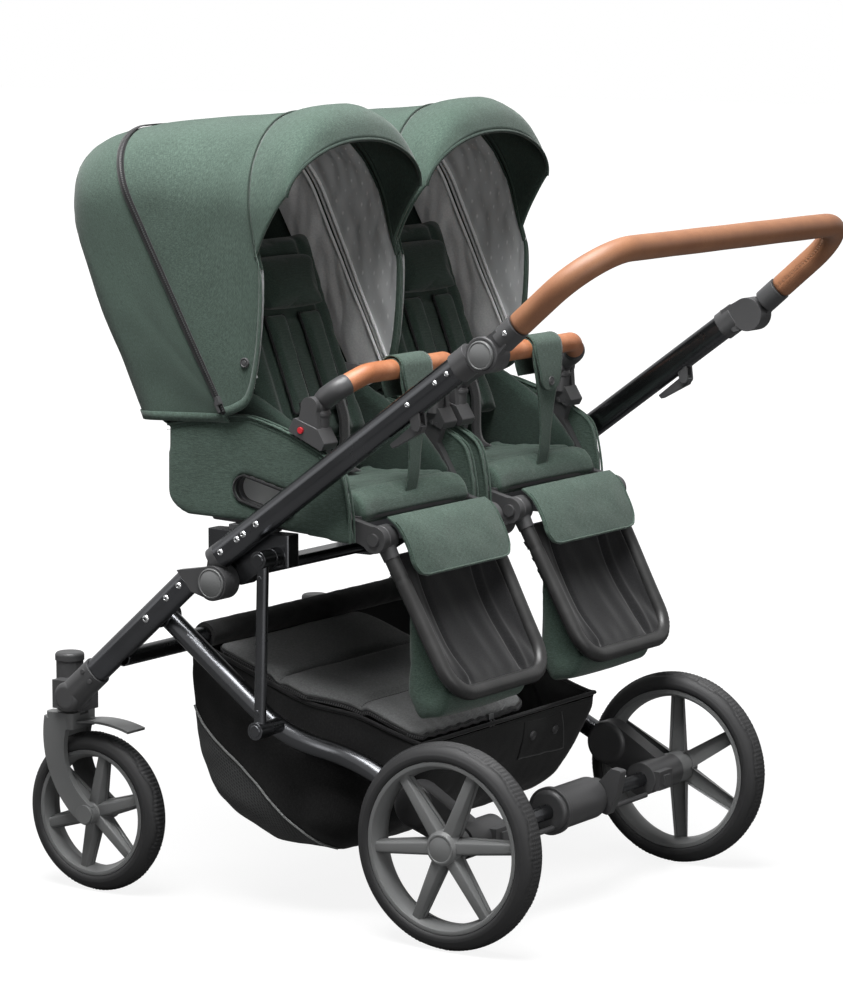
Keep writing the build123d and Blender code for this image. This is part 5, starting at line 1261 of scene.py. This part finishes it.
ribbon(bm, path, 14, flap_offset)
strap = seat_piece("strap_flap", bm, cloth_green, "bumper", sharp=80)
thickened(strap, 2.0, 1.0)
bm = bmesh.new()
for sign in (1, -1):
    row = [p + Vector((sign * (flap_half(i / (len(path) - 1)) - 3.5) * MM, 0, 0)) for i, p in enumerate(path)]
    stitches(bm, lifted([p for p in row if p.z / MM > 726], 2.4, in_seat(0, -175, 760)), 4.0)
seat_piece("strap_stitching", bm, thread_green, "bumper")
bm = bmesh.new()
turned_shape(bm, SNAP, in_seat(0, -141.0, 737), (0, 1, 0.05), 32)
seat_piece("strap_snap", bm, nylon_black, "bumper", sharp=30)

# ---------------------------------------------------------------- footrest
foot_down = Vector((0, FOOT_END[0] - FOOT_PIVOT[0], FOOT_END[1] - FOOT_PIVOT[1]))
FOOT_LONG = foot_down.length
foot_down.normalize()


def foot_at(dx, distance, out=0.0):
    """A place on the footrest: from its hinge towards its end, and out in front of its plane."""
    return at(
        SEAT_X + dx,
        FOOT_PIVOT[0] + foot_down.y * distance - foot_down.z * out,
        FOOT_PIVOT[1] + foot_down.z * distance + foot_down.y * out,
    )


loop = rounded(
    [foot_at(128, 14), foot_at(120, FOOT_LONG), foot_at(-120, FOOT_LONG), foot_at(-128, 14)], [46, 46], 3
)


def loop_size(share, turn):
    """Leatherette gathered round the two corners, and smooth along the runs."""
    from_corner = min(abs(share - 0.335), abs(share - 0.665))
    gather = max(0.0, 1 - from_corner / 0.075)
    folds = 0.75 * gather * math.sin(share * 620 + 2.2 * math.sin(turn)) * (0.6 + 0.4 * math.cos(turn))
    ends = pressed(min(share, 1 - share) - 0.075, 0.9, 0.004)
    return MM * (10.8 + folds - ends + 0.15 * math.sin(31 * share + turn))


bm = bmesh.new()
wrap(bm, loop, loop_size, 28, Vector((1, 0, 0)))
seat_piece("footrest_sleeve", bm, hide_black, "footrest", ["footrest_loop"], sharp=80)
bm = bmesh.new()
for sign in (1, -1):
    hinge = foot_at(sign * 126.3, 0)
    knuckle = [(-12, 0), (-12, 17), (-10, 19), (10, 19), (12.3, 17), (12.3, 0)]
    turned_shape(bm, knuckle, hinge, (sign, 0, 0), 48)
    run = [foot_at(sign * 127.9, d) for d in (8, 16, 24, 32)]
    wrap(bm, spaced(run, 4), lambda share, turn: MM * (13 - 1.2 * share), 28)
    turned_shape(bm, [(12, 9), (15, 8.4), (15.6, 6.5), (15.6, 0)], hinge, (sign, 0, 0), 32)
seat_piece("footrest_knuckles", bm, nylon_black, "footrest", sharp=35)

bm = bmesh.new()
spots = [(40, -26), (FOOT_LONG - 26, -26), (FOOT_LONG - 8, -14), (40, -34)]
front = [tuple((foot_at(0, d, o) - in_seat(0, 0, 0)).yz / MM) for d, o in spots]
seat_plate(bm, [*front[:3], (-34, 316), (-74, 308), (-93, 345), (-91, 470), front[3]], 108)
cushion("footrest_bucket", bm, cloth_green_solid, "footrest", (5, 6), (3, 5), ["footrest_cover"])


CALF_HALF = 115
PLEAT = 76


def calf_place(u, v):
    """Slack panel inside the loop with two pleats."""
    dx = (2 * u - 1) * CALF_HALF
    distance = mix(26, FOOT_LONG - 6, v)
    pleat = pressed(abs(dx) - PLEAT + 10, -5, 5) + pressed(abs(dx) - PLEAT, 2.5, 6)
    belly = -13 * math.sin(math.pi * min(1, v * 1.1)) * min(1, (CALF_HALF + 3 - abs(dx)) / 45)
    slack = 2.6 * noise.noise(Vector((dx / 26, distance / 70, 1)))
    slack += 3.0 * max(0, v - 0.6) * math.sin(dx / 9 + 14 * v) * (abs(dx) > 60)
    edge = min(1, (CALF_HALF - abs(dx)) / 12, (1 - v) * 14)
    return foot_at(dx, distance, (pleat + belly + slack) * edge - 1.5)


bm = bmesh.new()
draped_grid(bm, calf_place, 80, 60)
calf = seat_piece("calf_panel", bm, canvas_charcoal, "footrest", outward=in_seat(0, -200, 400), sharp=80)
thickened(calf, 1.5)


FLAP_HALF = 124
FLAP_CORNER = 26


def foot_flap_place(u, v):
    """Flap over the top of the footrest, its lower corners rounded."""
    line = smooth_line([foot_at(0, -24, 22), foot_at(0, -2, 32), foot_at(0, 34, 33), foot_at(0, 72, 27)], 2)
    left = (1 - v) * length_of(line) / MM
    half = FLAP_HALF - (FLAP_CORNER - math.sqrt(max(0, FLAP_CORNER**2 - max(0, FLAP_CORNER - left) ** 2)))
    spot = line[round(v * (len(line) - 1))]
    dx = (2 * u - 1) * half
    droop = 3.0 * (dx / FLAP_HALF) ** 4 + 1.2 * noise.noise(Vector((dx / 40, v * 3, 2)))
    return spot + Vector((dx * MM, -droop * MM, -droop * 0.4 * MM))


bm = bmesh.new()
draped_grid(bm, foot_flap_place, 64, 30)
flap = seat_piece("footrest_flap", bm, cloth_green, "footrest", outward=in_seat(0, -260, 480), sharp=80)
thickened(flap, 4.0)
softened(flap, 1.4)
rim_line = [foot_flap_place(0.012, k / 30) for k in range(4, 30)]
rim_line += [foot_flap_place(k / 40, 0.985) for k in range(2, 39)]
rim_line += [foot_flap_place(0.988, k / 30) for k in range(29, 3, -1)]
rim_line = smooth_line([p + Vector((0, 0.4, 0.2)) * MM for p in rim_line], 4)
cord("flap_piping", rim_line, 1.5, cloth_green_solid, "footrest")

# ---------------------------------------------------------------- bodies, and the right seat
# where a piece that crosses a joint would start and stop turning, as two (y, z) places; here such a piece is
# only baked in place
TURNS = {HOOD_TURN: ((-573.8, 605.3), (-222.6, 807.3)), STRAP_TURN: ((-154, 610), (-150, 760))}
for name, (piece, body, stands_for, thick) in made.items():
    if thick:
        thickened(piece, thick, 1.0)
    for side, sign in (("right", -1), ("left", 1)):
        target = piece if sign > 0 else twin(piece, f"{name}_right")
        if isinstance(body, tuple):
            parent, child = (f"{b}_{side}" for b in body)
            start, end = (at(sign * SEAT_X, *place) for place in TURNS[body])
            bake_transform(target)
        else:
            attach(target, f"{body}_{side}")
        if stands_for:
            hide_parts(*[f"{n}_{side}" for n in stands_for])

# the pieces sewn on the hood's rear panel
REAR_TRIM = ["hood_hem", "hood_zip_tape", "hood_zip_teeth", "hood_slider_a", "hood_slider_b"]
REAR_TRIM += ["hood_stitching"]

# ---------------------------------------------------------------- basket
BASKET_ROWS = [
    ((-455, 388), (-454, 380), 291, 10),
    ((-454, 389), (-453, 320), 291, 26),
    ((-453, 389), (-446, 230), 292, 44),
    ((-446, 387), (-418, 150), 293, 56),
    ((-415, 372), (-366, 112), 294, 60),
    ((-345, 346), (-300, 97), 294, 60),
    ((-262, 314), (-232, 96), 286, 60),
    ((-205, 294), (-178, 116), 246, 56),
    ((-150, 275), (-138, 152), 236, 46),
    ((-112, 264), (-108, 215), 234, 26),
    ((-99, 262), (-99, 256), 234, 10),
]
BASKET_MIDDLE = at(0, -280, 300)


def basket_place(u, v, lift=0.0):
    """The cloth tub: u across from rim to rim, v from its front to its rear."""
    s = 2 * u - 1
    foot_y, foot_z, low_y, low_z, half, corner = row_at(BASKET_ROWS, v)
    deep = math.hypot(low_y - foot_y, low_z - foot_z)
    r = min(corner, deep)
    x, down, nx, nz = round_section(s, half, deep, r, r)
    share = down / deep
    spot = Vector((math.copysign(x, s), mix(foot_y, low_y, share), mix(foot_z, low_z, share)))
    slack = 5 * noise.noise(Vector((spot.x / 120, spot.y / 60, spot.z / 50))) + 1.6 * noise.noise(spot / 22)
    belly = 5 * math.sin(math.pi * min(1, share)) * nx
    edge = min(1.0, down / 22, v * 12 + 0.1, (1 - v) * 12 + 0.1)
    spot += Vector((math.copysign(nx, s), 0, -nz)) * ((slack + belly) * edge + lift)
    return at(*spot)


bm = bmesh.new()
draped_grid(bm, basket_place, 150, 90)
tub = finish("basket_cloth", bm, canvas_black, "rear_frame", ["basket"], outward=BASKET_MIDDLE, sharp=80)
thickened(tub, 1.6)

bm = bmesh.new()
rim_points = [basket_place(1.0, k / 60) for k in range(61)]
rim_points += [at(x, -99, 262) for x in (160, 80, 0, -80, -160)]
rim_points += [basket_place(0.0, k / 60) for k in range(60, -1, -1)]
wrap(bm, smooth_line(rim_points, 6), 3.0 * MM, 10)
finish("basket_rim", bm, webbing_black, "rear_frame")

bm = bmesh.new()
line = [at(x, *BASKET_TUBE) for x in range(-290, 291, 5)]


def sleeve_size(share, turn):
    """Canvas gathered round the front tube."""
    spot = Vector((share * 26 + 0.8 * math.sin(turn), 2 * math.cos(turn), 2 * math.sin(turn)))
    return MM * (18.4 + 0.9 * noise.noise(spot))


wrap(bm, line, sleeve_size, 32, Vector((0, 1, 0)))
finish("basket_front_sleeve", bm, canvas_black, "rear_frame", sharp=80)

# piping across the near and far sides, and the mesh panel below it
for side, sign in SIDES:

    def side_place(share, b, lift, sign=sign):
        """A point of the basket's side wall between its piping and its floor."""
        edge = 0.885 - 0.02 * b - 0.105 * b**3
        u = mix(edge, mix(0.8, 0.72, b), share)
        return basket_place(0.5 + sign * (u - 0.5), mix(0.19, 0.6, b), lift)

    bm = bmesh.new()
    wrap(bm, [side_place(0.0, k / 50, 2.6) for k in range(51)], 1.7 * MM)
    finish(f"basket_piping_{side}", bm, binding_grey, "rear_frame")
    bm = bmesh.new()
    draped_grid(bm, lambda u, v: side_place(u, v, 1.4), 40, 50)
    finish(f"basket_mesh_{side}", bm, mesh_black, "rear_frame", outward=BASKET_MIDDLE)

# open pocket on the far rear, with two press studs
bm = bmesh.new()


def pocket_place(u, v):
    """The pocket's front, bulging towards its open top."""
    return basket_place(mix(0.2, 0.42, u), mix(0.86, 0.985, v), 4 + 3 * math.sin(math.pi * u) * v)


draped_grid(bm, pocket_place, 40, 24)
thickened(finish("basket_pocket", bm, canvas_black, "rear_frame", outward=BASKET_MIDDLE), 1.6)
bm = bmesh.new()
for u in (0.25, 0.37):
    turned_shape(bm, SNAP, basket_place(u, 0.93, 8.5), (0, 0.9, -0.25), 28)
finish("pocket_snaps", bm, nylon_black, "rear_frame")

LID_FRONT, LID_BACK, LID_FAR = -414.0, -112.0, -73.0
LID_SEAMS = (0.35, 0.69)
LID_CORNER = 40.0


def lid_height(y):
    return 389.5 - (389.5 - 264) * (y + 455) / (455 - 99)


def lid_place(u, v, drop=0.0):
    """Quilted lid: three stuffed panels, pressed in at their seams and gathered at the rear edge."""
    long = LID_BACK - LID_FRONT
    y = mix(LID_FRONT, LID_BACK, v)
    near = 288 if y < -262 else mix(288, 231, min(1, (y + 262) / 58))
    to_end = min(v, 1 - v) * long
    cut = LID_CORNER - math.sqrt(max(0, LID_CORNER**2 - max(0, LID_CORNER - to_end) ** 2))
    near_cut = 12 - math.sqrt(max(0, 144 - max(0, 12 - to_end) ** 2))
    dx = mix(LID_FAR + cut, near - near_cut, u)
    inset = min(dx - LID_FAR - cut, near - near_cut - dx, to_end)
    stuff = 9 * math.sqrt(min(1.0, max(0.0, inset / 16)))
    for seam in LID_SEAMS:
        stuff -= pressed((v - seam) * long, 7, 6)
    stuff += 1.2 * noise.noise(Vector((dx / 60, y / 40, 0)))
    gather = max(0.0, 1 - (1 - v) * 5.5)
    stuff += 1.1 * gather * math.sin(dx / 4.4 + 2.5 * noise.noise(Vector((dx / 25, 0, 0))))
    return at(dx, y, lid_height(y) + 4.2 + stuff - drop)


bm = bmesh.new()
draped_grid(bm, lid_place, 160, 90)
under_lid = at(0, -260, 100)
lid = finish("basket_lid_quilt", bm, canvas_grey, "rear_frame", ["basket_lid"], 80, under_lid)
thickened(lid, 8.0)
bm = bmesh.new()
for seam in LID_SEAMS:
    stitches(bm, [lid_place(k / 60, seam) + Vector((0, 0, 0.4 * MM)) for k in range(1, 60)], 4.5)
finish("lid_stitching", bm, thread_black, "rear_frame")

# zip round the lid, with its slider and pull
rim_of_lid = [lid_place(1.0, k / 30, 4) for k in range(31)]
rim_of_lid += [lid_place(1 - k / 30, 1.0, 4) for k in range(1, 31)]
rim_of_lid += [lid_place(0.0, 1 - k / 30, 4) for k in range(1, 31)]
rim_of_lid += [lid_place(k / 30, 0.0, 4) for k in range(1, 30)]
zip_run = smooth_line(rim_of_lid, 4, closed=True)
bm = bmesh.new()
wrap(bm, zip_run, 3.6 * MM)
finish("lid_zip_tape", bm, webbing_black, "rear_frame")
bm = bmesh.new()
middle_of_lid = at(100, -260, 330)
for point, ahead, _, _ in frames_along(spaced(lifted(zip_run, 3.2, middle_of_lid), 3.4)):
    block(bm, point, (1.6, 4.6, 1.8), facing(ahead))
finish("lid_zip_teeth", bm, nylon_black, "rear_frame")
bm = bmesh.new()
pull_at = lid_place(0.3, 1.0, 4) + Vector((0, 4.5, 0)) * MM
block(bm, pull_at, (12, 5, 8))
for across in (-4, 4):
    hang = pull_at + Vector((across, 3.5, -12)) * MM
    block(bm, hang, (4, 1.6, 15))
    ring = [(-0.8, 4.6), (0.8, 4.6), (0.8, 2.6), (-0.8, 2.6), (-0.8, 4.6)]
    turned_shape(bm, ring, hang + Vector((0, 0, -9)) * MM, (0, 1, 0), 24)
finish("lid_zip_slider", bm, zinc_cast, "rear_frame")
BASKET_TRIM = ["basket_rim", "basket_front_sleeve", "basket_pocket", "pocket_snaps"]
BASKET_TRIM += [f"{part}_{side}" for part in ("basket_piping", "basket_mesh") for side, _ in SIDES]
# each piece of the basket and its lid is given a mesh of its own
LID_TRIM = ["lid_stitching", "lid_zip_tape", "lid_zip_teeth", "lid_zip_slider"]
for name in ("basket_cloth", "basket_lid_quilt", *BASKET_TRIM, *LID_TRIM):
    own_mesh(bpy.data.objects[name])

# ---------------------------------------------------------------- floor, light and camera
bm = bmesh.new()
bmesh.ops.create_grid(bm, x_segments=1, y_segments=1, size=30)
floor_mesh = bpy.data.meshes.new("floor")
bm.to_mesh(floor_mesh)
bm.free()
floor = stand("floor", floor_mesh)
# Plain studio floor: matt white paper, lifted for the camera alone so that only soft shadows show on it.
paper, tree, shader = new_material("white_paper", Base_Color=paint("#606060"), Roughness=0.95)
shader.inputs["Emission Color"].default_value = WHITE
rays = add(tree, "LightPath").outputs
place = add(tree, "TexCoord").outputs["Object"]
away = add(tree, "VectorMath", {"operation": "LENGTH"}, (), {0: place}).outputs["Value"]
reach = {"From Min": 0.9, "From Max": 2.2, "To Min": 0.88, "To Max": 1.05}
glow = add(tree, "MapRange", (), reach, {"Value": away})
lift = add(tree, "Math", TIMES, (), {0: rays["Is Camera Ray"], 1: glow})
join(tree, shader, {"Emission Strength": lift})
floor_mesh.materials.append(paper)

# lamps: where they stand, their size and power, and the way their backs face
for name, place, size, energy, way in (
    ("overhead", (1.0, 0.1, 3.5), 2.2, 245, (0.15, 0.1, 1)),
    ("front_fill", (1.4, 3.1, 0.7), 2.2, 32, (1.4, 3.1, 0.1)),
    ("side_fill", (2.6, -2.6, 1.3), 1.6, 5, (2.6, -2.6, 0.7)),
):
    light = bpy.data.lights.new(name, "AREA")
    light.size = size
    light.energy = energy
    lamp = stand(name, light)
    lamp.location = place
    lamp.rotation_euler = Vector(way).to_track_quat("Z", "Y").to_euler()

world = bpy.data.worlds.new("studio")
bpy.context.scene.world = world
world.use_nodes = True
tree = world.node_tree
back = tree.nodes["Background"]
rays = add(tree, "LightPath").outputs
back.inputs["Color"].default_value = WHITE
seen_rays = {0: rays["Is Camera Ray"], 1: rays["Is Transmission Ray"]}
seen = add(tree, "Math", {"operation": "ADD"}, (), seen_rays)
times_plus = {"operation": "MULTIPLY_ADD"}
mirrored = add(tree, "Math", times_plus, {1: 0.55, 2: 0.05}, {0: rays["Is Glossy Ray"]})
level = add(tree, "Math", times_plus, {1: 0.95}, {0: seen, 2: mirrored})
join(tree, back, {"Strength": level})

lens = bpy.data.cameras.new("camera")
lens.lens = 135.5
lens.sensor_width = 36
camera = stand("camera", lens)
camera.location = (4.5555, 3.0039, 1.3337)
camera.rotation_euler = Vector((-0.8247, -0.5484, -0.1383)).to_track_quat("-Z", "Y").to_euler()
bpy.context.scene.camera = camera
bpy.context.scene.view_settings.view_transform = "Standard"
